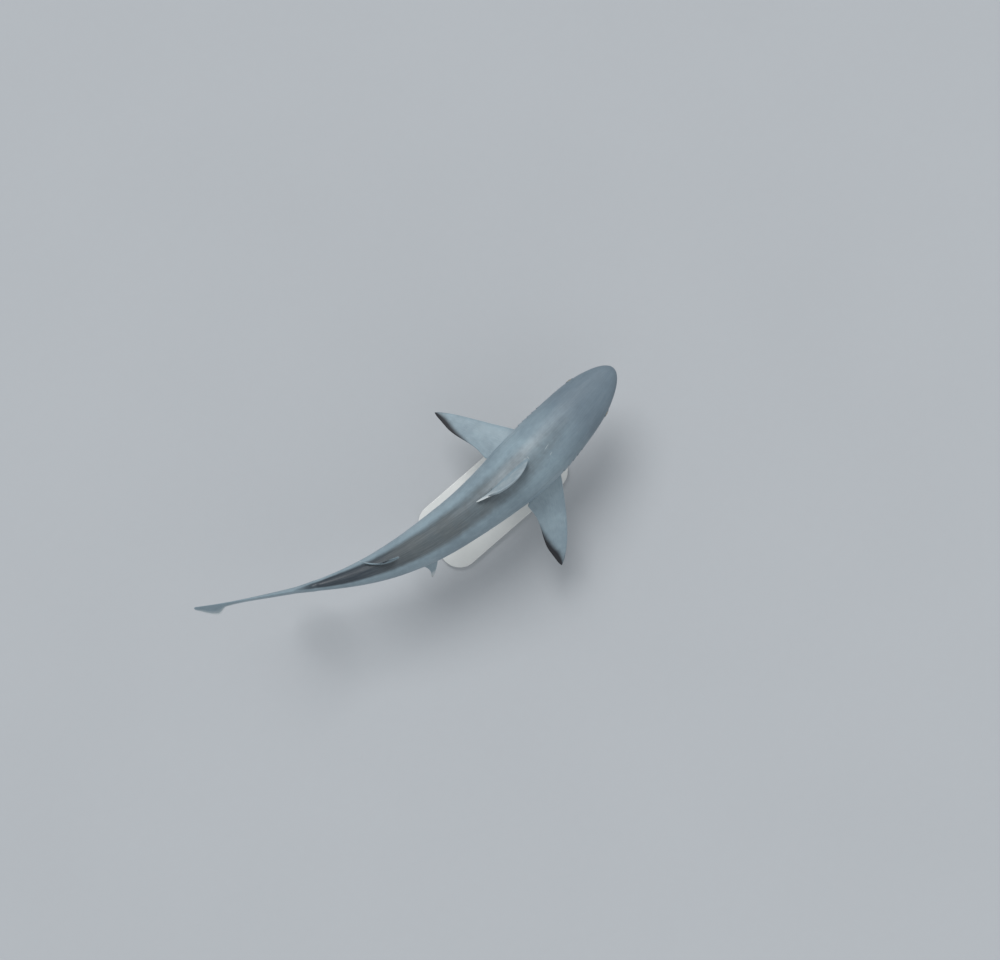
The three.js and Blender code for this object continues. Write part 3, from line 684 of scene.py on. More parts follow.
# A gill slit: a bowed slit across the flank, sunk inwards and forwards under its flap.
def openGill(k, left):
    (low, high), half = gillEnds(k), gills["step"] / 2
    centre, (under, over) = gillShare(k, 0), gills["margins"]
    loop = cutPatch(centre - half, centre + half, *mirrored(low - under, high + over, left))
    t, behind = np.sin(loop["way"]) * (1 if left else -1), np.cos(loop["way"])

    def loopAt(reach, width):
        lift = low + (t * reach + 1) / 2 * (high - low)
        share = gillShare(k, t * reach) + behind * width / body["length"]
        return share, (lift if left else 180 - lift) * degree

    for reach, width, parts in [(1.12, 5, [0.55, 1]), (1.05, 2.6, [1]), (1, gills["halfWidth"], [1])]:
        loop = nextLoop(loop, *loopAt(reach, width), parts)
    share, angle = loopAt(0.98, gills["halfWidth"])
    inward, rings = normalAt(share, angle) * -mm, []
    for part in (0.15, 0.5, 1):
        ahead = share - 0.45 * part * gills["depth"] / body["length"]
        rings.append(smoothPoint(ahead, angle) + inward * (gills["depth"] * part + gills["recess"]))
    sinkIn(loop, rings)


# The mouth: a slit bent into an arch under the snout, sunk into a cleft and sewn shut inside.
def openMouth():
    front, corner = mouth["front"], float(mouthShare(mouth["halfSpan"]))
    across = mouth["patchAngle"]
    loop = cutPatch(
        front - mouth["patchFront"], 2 * corner - front + mouth["patchBack"], -90 - across, -90 + across
    )
    start = int(np.argmin(np.abs(loop["way"] - np.pi / 2)))
    way = loop["way"] + mouth["crowding"] * np.sin(2 * loop["way"])  # crowds the points at the arch's ends
    arch, behind = np.sin(way) * mouth["ends"] * degree, np.cos(way)

    def loopAt(width, stretch=1.0):
        slant = arch * stretch + np.sin(way) * width / mouth["halfSpan"]
        share = front + mouth["reach"] * (1 - np.cos(slant)) ** 0.9
        share = share + behind * width * np.cos(slant) / body["length"]
        side = mouth["halfSpan"] * np.sin(slant) - behind * width * np.sin(slant)
        return share, angleAcross(share, side, False)

    for k, width in enumerate(mouth["rings"]):
        loop = nextLoop(loop, *loopAt(width), [1] if k else mouth["spread"])
    slit = loopAt(mouth["halfWidth"], 0.99)
    rim, inward = skinPoint(*slit), normalAt(*slit) * -mm
    sinkIn(loop, [rim + inward * mouth["depth"] * part for part in (0.2, 0.55, 1)], start)


# The bore that a stand rod goes up into: a round opening in the belly with a straight wall.
def openBore(share):
    loop = cutRound(share, -90, rods["patch"])
    way, radius = loop["way"], rods["radius"] + rods["clear"]

    def loopAt(grow):
        at = share + np.cos(way) * radius * grow / body["length"]
        return at, angleAcross(at, np.sin(way) * radius * grow, False)

    for grow, parts in [(1.3, [0.5, 1]), (1, [1])]:
        loop = nextLoop(loop, *loopAt(grow), parts)
    top = place(share, 0, trunkSection(share, -np.pi / 2)[1] + rods["socket"] + 2)[2]
    wall = skinPoint(*loopAt(1))
    rise = np.stack([0 * way, 0 * way, top - wall[:, 2]], -1)
    sinkIn(loop, [wall + rise * part for part in (0.12, 1)])


# Moves a closed outline of shares and angles outwards over the surface by some millimetres.
def widened(share, angle, distance, scale):
    flat = np.stack([share * body["length"], angle * scale], -1)
    along = np.roll(flat, -1, 0) - np.roll(flat, 1, 0)
    out = np.stack([along[:, 1], -along[:, 0]], -1)
    out /= np.maximum(np.linalg.norm(out, axis=1, keepdims=True), 1e-9)
    out *= np.sign(((flat - flat.mean(0)) * out).sum())
    flat = flat + out * distance
    return flat[:, 0] / body["length"], flat[:, 1] / scale


# Parts of the way from a fin's fillet to its tip: close together at the root and round the tip.
def finRows(nearRoot, rootCount, middleCount, tipCount):
    tipStart = 1 - finShape["roundTip"]
    root = np.linspace(0, nearRoot, rootCount)
    middle = np.linspace(nearRoot, tipStart, middleCount)[1:]
    tip = tipStart + finShape["roundTip"] * np.sin(np.linspace(0, np.pi / 2, tipCount)[1:])
    return np.concatenate([root, middle, tip])


# Grows a fin out of a patch: rings over the body up to the fillet, the fillet as a curve pulled towards
# the root line, rows of sections out to the tip, and the tip sewn shut.
def growFin(name, rim, face, pointOf, start, rootShare, rootAngle):
    fin, chord = fins[name], rim["chord"]
    angle = rootAngle + 2 * np.pi * np.round((rim["angle"].mean() - rootAngle) / (2 * np.pi))
    scale = roundScale(float(rootShare.mean()), float(angle.mean()))
    foot = widened(rootShare, angle, fin["fillet"], scale)
    ids = nextLoop(rim, *foot, [0.35, 0.7, 1])["ids"]
    low, corner, high = skinPoint(*foot), skinPoint(rootShare, angle), place(*pointOf(start))
    lowMarks, highMarks = bodyMarks(*foot), finMarks(name, face, start, chord)
    for part in (0.2, 0.4, 0.6, 0.8):
        ring = low * (1 - part) ** 2 + corner * 2 * part * (1 - part) + high * part**2
        ids = nextRing(ids, ring, lowMarks + (highMarks - lowMarks) * rampUp(0, 1, part))
    for part in finRows(*fin["rows"]):
        v = start + (1 - start) * part
        ids = nextRing(ids, place(*pointOf(v)), finMarks(name, face, v, chord))
    addSeam(ids)


# The v at which each line of a fin leaves the body, by halving the span between low and high.
def crossing(isOutside, low, high, count):
    low, high = np.full(count, low), np.full(count, high)
    for _ in range(30):
        middle = (low + high) / 2
        outside = isOutside(middle)
        low, high = np.where(outside, low, middle), np.where(outside, middle, high)
    return middle


def growPaired(name, left):
    fin = fins[name]
    lowShare, highShare, lowAngle, highAngle = fin["patch"]
    rim = cutPatch(lowShare, highShare, *mirrored(lowAngle, highAngle, left))
    face = rim["face"] * (1 if left else -1)

    def pointOf(v):
        return pairedPoint(fin, left, v, rim["chord"], face)

    def isOutside(v):
        share, side, up = pointOf(v)
        level, width, reach, roundness = sectionSizes(share, up >= valueAt(body["widestLevel"], share))
        return (np.abs(side) / width) ** roundness + (np.abs(up - level) / reach) ** roundness > 1

    root = crossing(isOutside, -0.2, 0.3, len(face))
    share, side, up = pointOf(root)
    growFin(name, rim, face, pointOf, root + fin["fillet"] / fin["span"], share, angleOf(share, side, up))


def growMiddle(name, onBack):
    fin, rim = fins[name], cutPatch(*fins[name]["patch"])
    face = rim["face"] * (-1 if onBack else 1)

    def pointOf(v):
        return middlePoint(fin, onBack, v, rim["chord"], face)

    root = np.zeros(len(face))
    share, side, _ = pointOf(root)
    start = root + fin["fillet"] / fin["span"]
    growFin(name, rim, face, pointOf, start, share, angleAcross(share, side, onBack))


# The lower tail lobe leaves the upper one a little above its lower margin.
def growLowerLobe():
    lobe = fins["lowerLobe"]
    rim = cutPatch(*lobe["patch"])
    chord, face = rim["chord"], rim["face"]

    def pointOf(v):
        return lowerLobePoint(v, chord, face)

    def leaving(offset):
        def isBelow(v):
            share, _, up = pointOf(v)
            return up < bladeMargins(share)[2] + offset
        return crossing(isBelow, -0.2, 0.5, len(chord))

    share, _, up = pointOf(leaving(lobe["inset"]))
    v, top, bottom = bladeMargins(share)
    lift = np.arcsin(np.clip(1 - 2 * (top - np.maximum(up, bottom)) / (top - bottom), -1, 1))
    angle = np.where(face >= 0, lift, -np.pi - lift)
    growFin("lowerLobe", rim, face, pointOf, leaving(-lobe["fillet"]), share, angle)


# A smooth piece from its points and its lists of faces, with points that no face uses left out.
def meshPiece(name, points, faceLists, marks=None, names=()):
    used = np.zeros(len(points), bool)
    for faces in faceLists:
        used[faces] = True
    newId = np.cumsum(used) - 1
    mesh = bpy.data.meshes.new(name)
    mesh.from_pydata(points[used], [], [face for faces in faceLists for face in newId[faces].tolist()])
    mesh.shade_smooth()
    for k, markName in enumerate(names):
        values = marks[used][:, k].astype(np.float32)
        mesh.attributes.new(markName, "FLOAT", "POINT").data.foreach_set("value", values)
    piece = bpy.data.objects.new(name, mesh)
    bpy.context.scene.collection.objects.link(piece)
    return piece


# Gives a piece its material, its place in the part and the solids that it stands for.
def dressPiece(piece, material, slot, *nodes):
    piece.data.materials.append(material)
    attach(piece, "root")
    if nodes:
        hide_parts(*nodes)


def buildSkin():
    share, angle = np.meshgrid(rows, np.arange(grid["around"]) * stepRound, indexing="ij")
    share, angle = share.ravel(), angle.ravel()
    skin["grid"] = addPoints(skinPoint(share, angle), bodyMarks(share, angle)).reshape(len(rows), -1)
    skin["kept"] = np.ones((len(rows) - 1, grid["around"]), bool)
    addPole(skin["grid"][0][::-1], smoothPoint(0, 0.0), bodyMarks(0.0, 0.0))
    tipShare = body["stalkEnd"] + tail["reach"] / body["length"]
    tip = place(tipShare, -tail["bendRight"][-1][1] / 2, tail["top"][-1][1] - 2)
    addPole(skin["grid"][-1], tip, bodyMarks(1.0, 0.0))
    openMouth()
    for share in rods["shares"]:
        openBore(share)
    for left in (True, False):
        openEye(left)
        openNostril(left)
        for k in range(gills["count"]):
            openGill(k, left)
        growPaired("pectoral", left)
        growPaired("pelvic", left)
    growMiddle("firstDorsal", True)
    growMiddle("secondDorsal", True)
    growMiddle("anal", False)
    growLowerLobe()
    i, j = np.nonzero(skin["kept"])
    here, after = skin["grid"], (j + 1) % grid["around"]
    skin["faces"].append(np.stack([here[i, j], here[i + 1, j], here[i + 1, after], here[i, after]], -1))
    points, marks = np.concatenate(skin["points"]), np.concatenate(skin["marks"])
    return meshPiece("shark_skin", points, skin["faces"], marks, markNames)


sharkSkin = buildSkin()
print("skin:", len(sharkSkin.data.vertices), "points")


# ---- materials ----
# Fills a node's sockets, given by name or number: with a value, or with a link from another node's
# socket.
def fillSockets(tree, node, sockets):
    for name, value in sockets.items():
        if isinstance(value, bpy.types.NodeSocket):
            tree.links.new(value, node.inputs[name])
        else:
            node.inputs[name].default_value = value


def addNode(tree, kind, sockets=None, **settings):
    node = tree.nodes.new("ShaderNode" + kind)
    for name, value in settings.items():
        setattr(node, name, value)
    fillSockets(tree, node, sockets or {})
    return node


def mathNode(tree, operation, *values):
    return addNode(tree, "Math", dict(enumerate(values)), operation=operation).outputs[0]


def times(tree, first, second):
    return mathNode(tree, "MULTIPLY", first, second)


# Soft step of a value from low to high, put out between two numbers.
def softStep(tree, value, low, high, toMin=0.0, toMax=1.0):
    sockets = {"Value": value, "From Min": low, "From Max": high, "To Min": toMin, "To Max": toMax}
    return addNode(tree, "MapRange", sockets, interpolation_type="SMOOTHSTEP").outputs[0]


def mixColor(tree, factor, first, second):
    return addNode(tree, "Mix", {0: factor, 6: first, 7: second}, data_type="RGBA").outputs[2]


def attribute(tree, name):
    return addNode(tree, "Attribute", attribute_name=name).outputs["Fac"]


def objectPlace(tree):
    return addNode(tree, "TexCoord").outputs["Object"]


def noise(tree, vector, scale, detail):
    return addNode(tree, "TexNoise", {"Vector": vector, "Scale": scale, "Detail": detail}).outputs["Fac"]


def bumped(tree, strength, distance, height):
    return addNode(tree, "Bump", {"Strength": strength, "Distance": distance, "Height": height}).outputs[0]


# A screen colour, 0 to 255, as the linear colour that shaders take.
def colour(red, green, blue):
    shown = np.array([red, green, blue]) / 255
    linear = np.where(shown <= 0.04045, shown / 12.92, ((shown + 0.055) / 1.055) ** 2.4)
    return (*linear.tolist(), 1.0)


# A new material, its node tree and its shader, with the shader's uniform sockets set from shine.
def newMaterial(name, shine):
    material = bpy.data.materials.new(name)
    material.use_nodes = True
    tree = material.node_tree
    shader = tree.nodes["Principled BSDF"]
    fillSockets(tree, shader, shine)
    return material, tree, shader


# Soft blotches: two sizes of noise on object coordinates, put out as a mask from 0 to 1 and as a fine
# height.
def makeMottle():
    group = bpy.data.node_groups.new("mottle", "ShaderNodeTree")
    for name in ("Coarse Scale", "Fine Scale", "Contrast"):
        group.interface.new_socket(name, in_out="INPUT", socket_type="NodeSocketFloat")
    group.interface.new_socket("Vector", in_out="INPUT", socket_type="NodeSocketVector")
    for name in ("Mask", "Height"):
        group.interface.new_socket(name, in_out="OUTPUT", socket_type="NodeSocketFloat")
    given, result = group.nodes.new("NodeGroupInput").outputs, group.nodes.new("NodeGroupOutput")
    fine = noise(group, given["Vector"], given["Fine Scale"], 3.0)
    coarse = noise(group, given["Vector"], given["Coarse Scale"], 5.0)
    both = mathNode(group, "MULTIPLY_ADD", fine, 0.35, coarse)
    spread, middle = times(group, given["Contrast"], 0.5), 0.675
    low, high = mathNode(group, "SUBTRACT", middle, spread), mathNode(group, "ADD", middle, spread)
    fillSockets(group, result, {"Mask": softStep(group, both, low, high), "Height": fine})
    return group


mottle = makeMottle()


def addMottle(tree, coarse, fine, contrast):
    sockets = {"Coarse Scale": coarse, "Fine Scale": fine, "Contrast": contrast, "Vector": objectPlace(tree)}
    outputs = addNode(tree, "Group", sockets, node_tree=mottle).outputs
    return outputs["Mask"], outputs["Height"]


# A finish of two mottled tones; scales are the mottle's, and unevenness is the bump's strength and
# distance.
def mottledFinish(name, first, second, scales, unevenness, shine):
    material, tree, shader = newMaterial(name, shine)
    mask, height = addMottle(tree, *scales)
    fillSockets(tree, shader, {"Base Color": mixColor(tree, mask, first, second)})
    if unevenness:
        fillSockets(tree, shader, {"Normal": bumped(tree, *unevenness, height)})
    return material


sharkFinish = {
    "flank": colour(137, 156, 165), "flankMottle": colour(122, 140, 150),
    "band": colour(72, 82, 87), "bandMottle": colour(82, 89, 91), "bandRear": colour(30, 42, 52),
    "headTint": colour(98, 113, 124), "headTinted": 0.85,
    "white": colour(224, 228, 227), "whiteMottle": colour(207, 213, 214),
    # the second colour here darkens the snout's pores and faint flecks, and is the painted shade in slits
    # and hollows
    "ink": colour(8, 11, 20), "poresAndRecessShade": colour(44, 46, 52),
    "paleSoft": 9.0, "paleRagged": 4.4,  # millimetres over which grey passes into white, and its raggedness
    "inkSoft": 19.0, "inkRagged": 5.0,
    "sideLine": (0.4, 2.2, 0.26),  # half widths of its full and its fading part, and how dark it is
    "scratches": [(0.238, -0.002, 0.016, 16), (0.234, -0.027, 0.008, 18), (0.171, 0.0095, 0.007, -93)],
    "scratchHalf": 0.0011, "scratchHeight": 0.44, "scratchReach": 0.08, "scratchSeen": 0.42,
    "roughness": (0.38, 0.49),
    "shine": {
        "Specular IOR Level": 0.4, "Coat Weight": 0.1, "Coat Roughness": 0.25,
        "Sheen Weight": 0.06, "Sheen Roughness": 0.35, "Sheen Tint": colour(200, 226, 240),
    },
}


# The skin's finish: every step lays a colour over the skin so far, where a mask lets it through.
def makeSharkFinish():
    f = sharkFinish
    material, tree, shader = newMaterial("shark_skin_finish", f["shine"])
    where = objectPlace(tree)
    mask, _ = addMottle(tree, 9, 60, 0.45)
    fleck, grain = addMottle(tree, 45, 400, 0.6)
    head, raySeen = attribute(tree, "head"), attribute(tree, "raySeen")

    # Where a mark is inside a border, made ragged by the flecks and soft by some millimetres.
    def bordered(mark, ragged, soft):
        edge = mathNode(tree, "MULTIPLY_ADD", fleck, ragged, attribute(tree, mark))
        return softStep(tree, edge, ragged / 2 - soft, ragged / 2 + soft)

    flank = mixColor(tree, mask, f["flank"], f["flankMottle"])
    flank = mixColor(tree, times(tree, head, f["headTinted"]), flank, f["headTint"])
    band = mixColor(tree, mask, f["band"], f["bandMottle"])
    band = mixColor(tree, attribute(tree, "rear"), band, f["bandRear"])
    back = mathNode(tree, "ADD", attribute(tree, "back"), mathNode(tree, "MULTIPLY_ADD", mask, 0.14, -0.07))
    tone = mixColor(tree, softStep(tree, back, 0.05, 0.95), flank, band)
    white = mixColor(tree, mask, f["white"], f["whiteMottle"])
    tone = mixColor(tree, bordered("pale", f["paleRagged"], f["paleSoft"]), tone, white)
    # Fine lines along the fins, where the rays run under the skin, and faint streaks along the body.
    across = times(tree, attribute(tree, "rayAcross"), 0.9)
    out = times(tree, attribute(tree, "rayOut"), 0.03)
    rays = noise(tree, addNode(tree, "CombineXYZ", {0: across, 1: out}).outputs[0], 1.0, 3.0)
    seen = mathNode(tree, "MULTIPLY_ADD", raySeen, 0.1, 0.06)
    tone = mixColor(tree, times(tree, softStep(tree, rays, 0.35, 0.75), seen), tone, f["whiteMottle"])
    # The line of pores along the flank.
    full, fading, dark = f["sideLine"]
    above = mathNode(tree, "ABSOLUTE", attribute(tree, "sideLine"))
    tone = mixColor(tree, softStep(tree, above, full, fading, dark, 0.0), tone, f["bandRear"])
    # A few thin healed scratches on the nape: long ellipsoids across the skin.
    for x, y, halfLength, heading in f["scratches"]:
        sockets = {
            "Vector": where, "Location": (x, y, f["scratchHeight"]), "Rotation": (0, 0, heading * degree),
            "Scale": (halfLength, f["scratchHalf"], f["scratchReach"]),
        }
        placed = addNode(tree, "Mapping", sockets, vector_type="TEXTURE").outputs[0]
        away = addNode(tree, "VectorMath", {0: placed}, operation="LENGTH").outputs["Value"]
        tone = mixColor(tree, softStep(tree, away, 0.3, 1.0, f["scratchSeen"], 0.0), tone, f["white"])
    tone = mixColor(tree, bordered("ink", f["inkRagged"], f["inkSoft"]), tone, f["ink"])
    # Small dark pores over the snout; these, faint dark flecks and the painted shade deep in the slits and
    # hollows are laid on in one dark colour.
    pores = addNode(tree, "TexVoronoi", {"Vector": where, "Scale": 120.0, "Randomness": 0.9})
    pore = softStep(tree, pores.outputs["Distance"], 0.06, 0.13, 1.0, 0.0)
    pore = times(tree, pore, softStep(tree, head, 0.8, 1.0, 0.0, 0.35))
    for part in (pore, times(tree, fleck, 0.1), attribute(tree, "poresAndRecessShade")):
        tone = mixColor(tree, part, tone, f["poresAndRecessShade"])
    # The skin's tiny scales: cells a millimetre apart, under soft unevenness and the rays.
    scales = addNode(tree, "TexVoronoi", {"Vector": where, "Scale": 900.0}).outputs["Distance"]
    height = mathNode(tree, "MULTIPLY_ADD", scales, 0.25, grain)
    height = mathNode(tree, "MULTIPLY_ADD", times(tree, rays, raySeen), 1.2, height)
    fillSockets(tree, shader, {
        "Base Color": tone, "Roughness": softStep(tree, mask, 0, 1, *f["roughness"]),
        "Normal": bumped(tree, 0.25, 0.0006, height),
    })
    return material


fleshNodes = [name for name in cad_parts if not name.startswith(("stand_", "eye_"))]
dressPiece(sharkSkin, makeSharkFinish(), "skin", *fleshNodes)

# ---- the eyes ----
eyeball = {
    "around": 64, "rows": 40, "corneaReach": 8, "corneaLift": 0.35,
    "irisReach": 9.9, "pupilAlong": 1.9, "pupilHigh": 6.4,
    "iris": colour(176, 170, 142), "irisDark": colour(104, 98, 80),
    "pupil": colour(6, 7, 9), "limbus": colour(34, 34, 34),
    "shine": {"Roughness": 0.16, "Coat Weight": 1.0, "Coat Roughness": 0.03},
}


# Faces between the rings of a grid of ids, rows upwards and columns counter-clockwise seen from above.
def ringFaces(ids):
    after = np.roll(ids, -1, 1)
    return np.stack([ids[:-1], after[:-1], after[1:], ids[1:]], -1).reshape(-1, 4)


def around(count):
    return np.arange(count) * 2 * np.pi / count


# A flattened ball: (along cos a cos b, high cos a sin b, deep sin a), with the cornea as a soft bump
# outside.
def makeEyeball(left):
    along, high, deep = eyes["size"]
    latitude = np.linspace(-np.pi / 2, np.pi / 2, eyeball["rows"] + 1)[1:-1]
    latitude, turn = np.meshgrid(latitude, around(eyeball["around"]), indexing="ij")
    ids = np.arange(latitude.size).reshape(latitude.shape)
    x = np.append(along * np.cos(latitude) * np.cos(turn), [0, 0])
    y = np.append(high * np.cos(latitude) * np.sin(turn), [0, 0])
    z = np.append(deep * np.sin(latitude), [-deep, deep])
    z += np.where(z > 0, eyeball["corneaLift"] * bump(np.hypot(x, y), eyeball["corneaReach"]), 0)
    centre, axes = eyeFrame(left)
    points = centre + np.stack([x, y, z], -1) @ axes * mm
    after, poles = np.roll(ids, -1, 1), np.full((2, ids.shape[1]), [[ids.size], [ids.size + 1]])
    ends = [(after[0], ids[0], poles[0]), (ids[-1], after[-1], poles[1])]
    faces = [ringFaces(ids), *(np.stack(end, -1) for end in ends)]
    if left:  # forward, upward and outward are left-handed on this side
        faces = [face[:, ::-1] for face in faces]
    name = "eyeball_left" if left else "eyeball_right"
    return meshPiece(name, points, faces, np.stack([x, y], -1), ["eyeForward", "eyeUp"])


def makeEyeFinish():
    material, tree, shader = newMaterial("eye_finish", eyeball["shine"])
    x, y = attribute(tree, "eyeForward"), attribute(tree, "eyeUp")

    # Distance from the middle of the eye, 1 on the ellipse with these half axes.
    def reach(along, high):
        parts = [mathNode(tree, "DIVIDE", value, half) for value, half in ((x, along), (y, high))]
        return mathNode(tree, "SQRT", mathNode(tree, "ADD", *(times(tree, part, part) for part in parts)))

    out, turn = reach(eyeball["irisReach"], eyeball["irisReach"]), mathNode(tree, "ARCTAN2", y, x)
    sine, cosine = mathNode(tree, "SINE", turn), mathNode(tree, "COSINE", turn)
    fibres = noise(tree, addNode(tree, "CombineXYZ", {0: sine, 1: cosine, 2: out}).outputs[0], 9.0, 4.0)
    iris = mixColor(tree, softStep(tree, fibres, 0.35, 0.7), eyeball["irisDark"], eyeball["iris"])
    iris = mixColor(tree, softStep(tree, out, 0.62, 0.95, 0.0, 0.7), iris, eyeball["irisDark"])
    iris = mixColor(tree, softStep(tree, out, 0.93, 1.02), iris, eyeball["limbus"])
    pupil = softStep(tree, reach(eyeball["pupilAlong"], eyeball["pupilHigh"]), 0.92, 1.06)
    fillSockets(tree, shader, {"Base Color": mixColor(tree, pupil, eyeball["pupil"], iris)})
    return material


eyeFinish = makeEyeFinish()
for left, node in ((True, "eye_left"), (False, "eye_right")):
    dressPiece(makeEyeball(left), eyeFinish, "eye", node)
print("eyes: two")

# ---- the stand ----
stand = {
    "length": 540, "width": 250, "corner": 70, "thickness": 16, "topEdge": 3, "lowEdge": 1.5,
    "collarRadius": 20, "collarHeight": 14, "gap": 0.3, "screws": 3, "screwReach": 15.904, "around": 48,
    # Screw heads as radius and height over the collar's foot, cuffs as radius and drop below the skin.
    "screwHead": [(2.5, 4.6), (2.5, 5.5), (2.1, 6.2), (1.2, 6.6), (1.1, 5.9)],
    "cuff": [
        (8.1, -1.5), (8.1, 3.2), (8.5, 3.9), (9.4, 4), (11.6, 3.4), (13, 2.2), (13.5, 0.8), (13.2, -1.5),
    ],
    "paint": colour(212, 213, 210), "paintShade": colour(202, 204, 202),
    "steel": colour(186, 189, 192), "steelDark": colour(150, 153, 157), "rubber": colour(38, 40, 43),
}


# The plate's outline drawn in from its edge: straight sides joined by quarter circles.
def plateOutline(inset):
    quarter = np.linspace(0, np.pi / 2, 17)
    radius = stand["corner"] - inset
    x, y = stand["length"] / 2 - stand["corner"], stand["width"] / 2 - stand["corner"]
    corners = [(x, -y, -np.pi / 2), (x, y, 0), (-x, y, np.pi / 2), (-x, -y, np.pi)]
    return np.concatenate([
        np.stack([cx + radius * np.cos(start + quarter), cy + radius * np.sin(start + quarter)], -1)
        for cx, cy, start in corners
    ])


def makePlate():
    curve = np.linspace(0, np.pi / 2, 6)
    low, top = stand["lowEdge"], stand["topEdge"]
    inset = np.concatenate([low * (1 - np.sin(curve)), top * (1 - np.cos(curve))])
    height = np.concatenate([low * (1 - np.cos(curve)), stand["thickness"] - top * (1 - np.sin(curve))])
    outlines = np.stack([plateOutline(part) for part in inset])
    levels = np.broadcast_to(height[:, None, None], (*outlines.shape[:2], 1))
    points = np.concatenate([outlines, levels], -1).reshape(-1, 3) * mm
    ids = np.arange(len(points)).reshape(outlines.shape[:2])
    return meshPiece("display_plate", points, [ringFaces(ids), ids[0][None, ::-1], ids[-1][None]])


# Turned shapes: each profile of radius and height is carried round an upright axis, and its ends are
# closed.
def turnedPiece(name, shapes):
    points, faces, turn = np.empty((0, 3)), [], around(stand["around"])
    for profile, at in shapes:
        radius, height = np.array(profile, float).T[..., None]
        x, y = at[0] + radius * np.cos(turn), at[1] + radius * np.sin(turn)
        ids = len(points) + np.arange(x.size).reshape(x.shape)
        points = np.concatenate([points, np.stack([x, y, height + 0 * x], -1).reshape(-1, 3) * mm])
        faces += [ringFaces(ids), ids[0][None, ::-1], ids[-1][None]]
    return meshPiece(name, points, faces)


# A rod with its collar, and low domed screw heads on the collar.
def makeRod(name, share):
    x, y = (place(share, 0, 0) / mm)[:2]
    foot = stand["thickness"] + stand["gap"]
    top = body["axisHeight"] + trunkSection(share, -np.pi / 2)[1] + rods["socket"]
    r, collar, rise = rods["radius"], stand["collarRadius"], foot + stand["collarHeight"]
    profile = [
        (collar - 0.6, foot), (collar, foot + 0.6), (collar, foot + 4.2), (collar - 0.8, foot + 5),
        (12.4, foot + 5), (11.8, foot + 5.6), (11.8, rise - 3), (11.2, rise - 1.6), (r + 0.6, rise),
        (r, rise + 0.4), (r, rise + 1), (r, (foot + top) / 2), (r, top - 1), (r - 1, top),
    ]
    head = [(radius, foot + height) for radius, height in stand["screwHead"]]
    turns, out = around(stand["screws"]) + np.pi / stand["screws"], stand["screwReach"]
    spots = [(x + out * np.cos(turn), y + out * np.sin(turn)) for turn in turns]
    return turnedPiece(name, [(profile, (x, y))] + [(head, spot) for spot in spots])


# A soft cuff that hugs the belly round a rod: rings whose height follows the skin above them.
def makeCuff(name, share):
    radius, drop = np.array(stand["cuff"], float).T[..., None]
    turn = around(stand["around"])
    at, side = share - radius * np.cos(turn) / body["length"], radius * np.sin(turn)
    points = place(at, side, trunkSection(at, angleAcross(at, side, False))[1] - drop)
    ids = np.arange(at.size).reshape(at.shape)
    return meshPiece(name, points.reshape(-1, 3), [ringFaces(np.concatenate([ids, ids[:1]]))])


def makeSteel():
    material, tree, shader = newMaterial("rod_steel", {"Metallic": 1.0})
    drawn = addNode(tree, "Mapping", {"Vector": objectPlace(tree), "Scale": (500, 500, 14)})
    streaks = noise(tree, drawn.outputs[0], 1.0, 3.0)
    fillSockets(tree, shader, {
        "Base Color": mixColor(tree, streaks, stand["steelDark"], stand["steel"]),
        "Roughness": softStep(tree, streaks, 0.3, 0.7, 0.24, 0.38),
        "Normal": bumped(tree, 0.1, 0.0002, streaks),
    })
    return material


def toned(tone, factor):
    return [min(1, part * factor) for part in tone[:3]] + [1]


paint = mottledFinish(
    "plate_paint", stand["paint"], stand["paintShade"], (7, 700, 0.7), (0.12, 0.0004),
    {"Roughness": 0.36, "Coat Weight": 0.2},
)
rubber = mottledFinish(
    "cuff_rubber", stand["rubber"], toned(stand["rubber"], 1.8), (60, 900, 0.7), (0.2, 0.0002),
    {"Roughness": 0.6},
)
steel = makeSteel()
dressPiece(makePlate(), paint, "stand_paint", "stand_base")
for share, end in zip(rods["shares"], ("front", "rear")):
    dressPiece(makeRod("steel_rod_" + end, share), steel, "stand_steel", "stand_rod_" + end)
    dressPiece(makeCuff("belly_cuff_" + end, share), rubber, "stand_paint")
print("stand: plate, rods and cuffs")

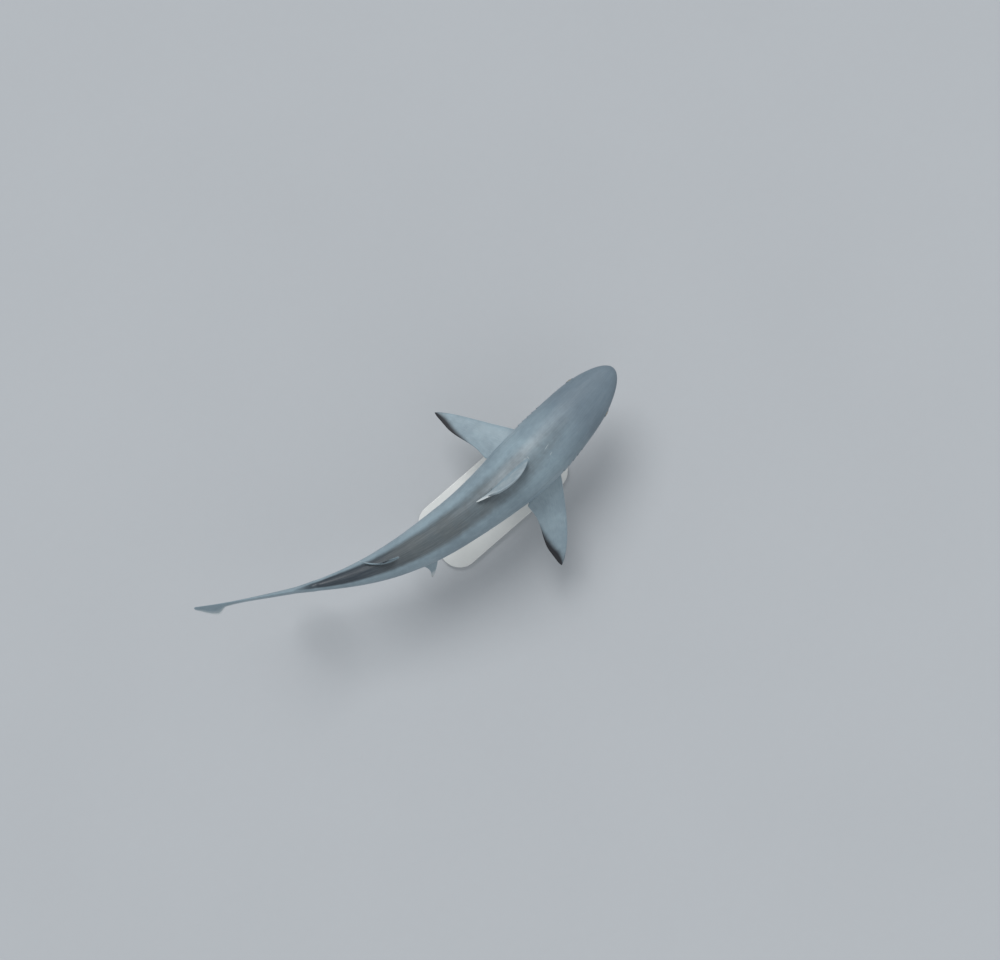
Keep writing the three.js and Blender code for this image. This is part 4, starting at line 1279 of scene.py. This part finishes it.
# ---- the floor, the lights and the camera ----
studio = {
    "floorRadii": [0.5, 2, 6, 30], "floor": colour(178, 181, 184), "floorShade": 0.97,
    "world": colour(226, 232, 238), "worldStrength": 0.6,
    "keyStrength": 1.85, "keySpread": 32, "keyFrom": (0.35, 1.15, 1.85),
    "fillStrength": 0.4, "fillSpread": 70, "fillFrom": (-0.5, -1.3, 1.2),
}
camera = {
    "place": (0.0748, -0.1336, 5.330), "lookAt": (0.0573, 0.0187, 0.330), "upward": (0.6561, 0.7547, 0.0),
    "lens": 55.7,
}


def addItem(name, data):
    item = bpy.data.objects.new(name, data)
    bpy.context.scene.collection.objects.link(item)
    return item


# The view's own axes: backwards along the line of sight, then the right-hand side and the top of the
# picture.
def makeCamera():
    data = bpy.data.cameras.new("camera")
    data.lens, data.sensor_width = camera["lens"], 36
    backward = (Vector(camera["place"]) - Vector(camera["lookAt"])).normalized()
    right = Vector(camera["upward"]).cross(backward).normalized()
    axes = Matrix((right, backward.cross(right), backward)).transposed().to_4x4()
    bpy.context.scene.camera = addItem("camera", data)
    bpy.context.scene.camera.matrix_world = Matrix.Translation(camera["place"]) @ axes


# A broad, far lamp: light from one direction, spread over an angle so that its shadows are soft.
def makeLight(name):
    data = bpy.data.lights.new(name + "_light", "SUN")
    data.energy, data.angle = studio[name + "Strength"], studio[name + "Spread"] * degree
    direction = Vector(studio[name + "From"])
    item = addItem(data.name, data)
    item.location = direction * 3
    item.rotation_euler = (-direction).to_track_quat("-Z", "Y").to_euler()


# A wide disc half a millimetre under the stand.
def makeFloor():
    radius, turn = np.array(studio["floorRadii"])[::-1, None], around(96)
    x, y = radius * np.cos(turn), radius * np.sin(turn)
    ids = np.arange(x.size).reshape(x.shape)
    points = np.stack([x, y, 0 * x - 0.5 * mm], -1).reshape(-1, 3)
    floor = meshPiece("floor", points, [ringFaces(ids), ids[-1][None]])
    floor.data.materials.append(mottledFinish(
        "floor_finish", studio["floor"], toned(studio["floor"], studio["floorShade"]), (1.2, 30, 0.8), None,
        {"Roughness": 0.75, "Specular IOR Level": 0.1},
    ))


def makeWorld():
    world = bpy.data.worlds.new("studio")
    world.use_nodes = True
    background = world.node_tree.nodes["Background"]
    fillSockets(world.node_tree, background, {"Color": studio["world"], "Strength": studio["worldStrength"]})
    bpy.context.scene.world = world


makeCamera()
makeLight("key")
makeLight("fill")
makeFloor()
makeWorld()
bpy.context.scene.view_settings.view_transform = "Standard"
print("studio: floor, lights and camera")
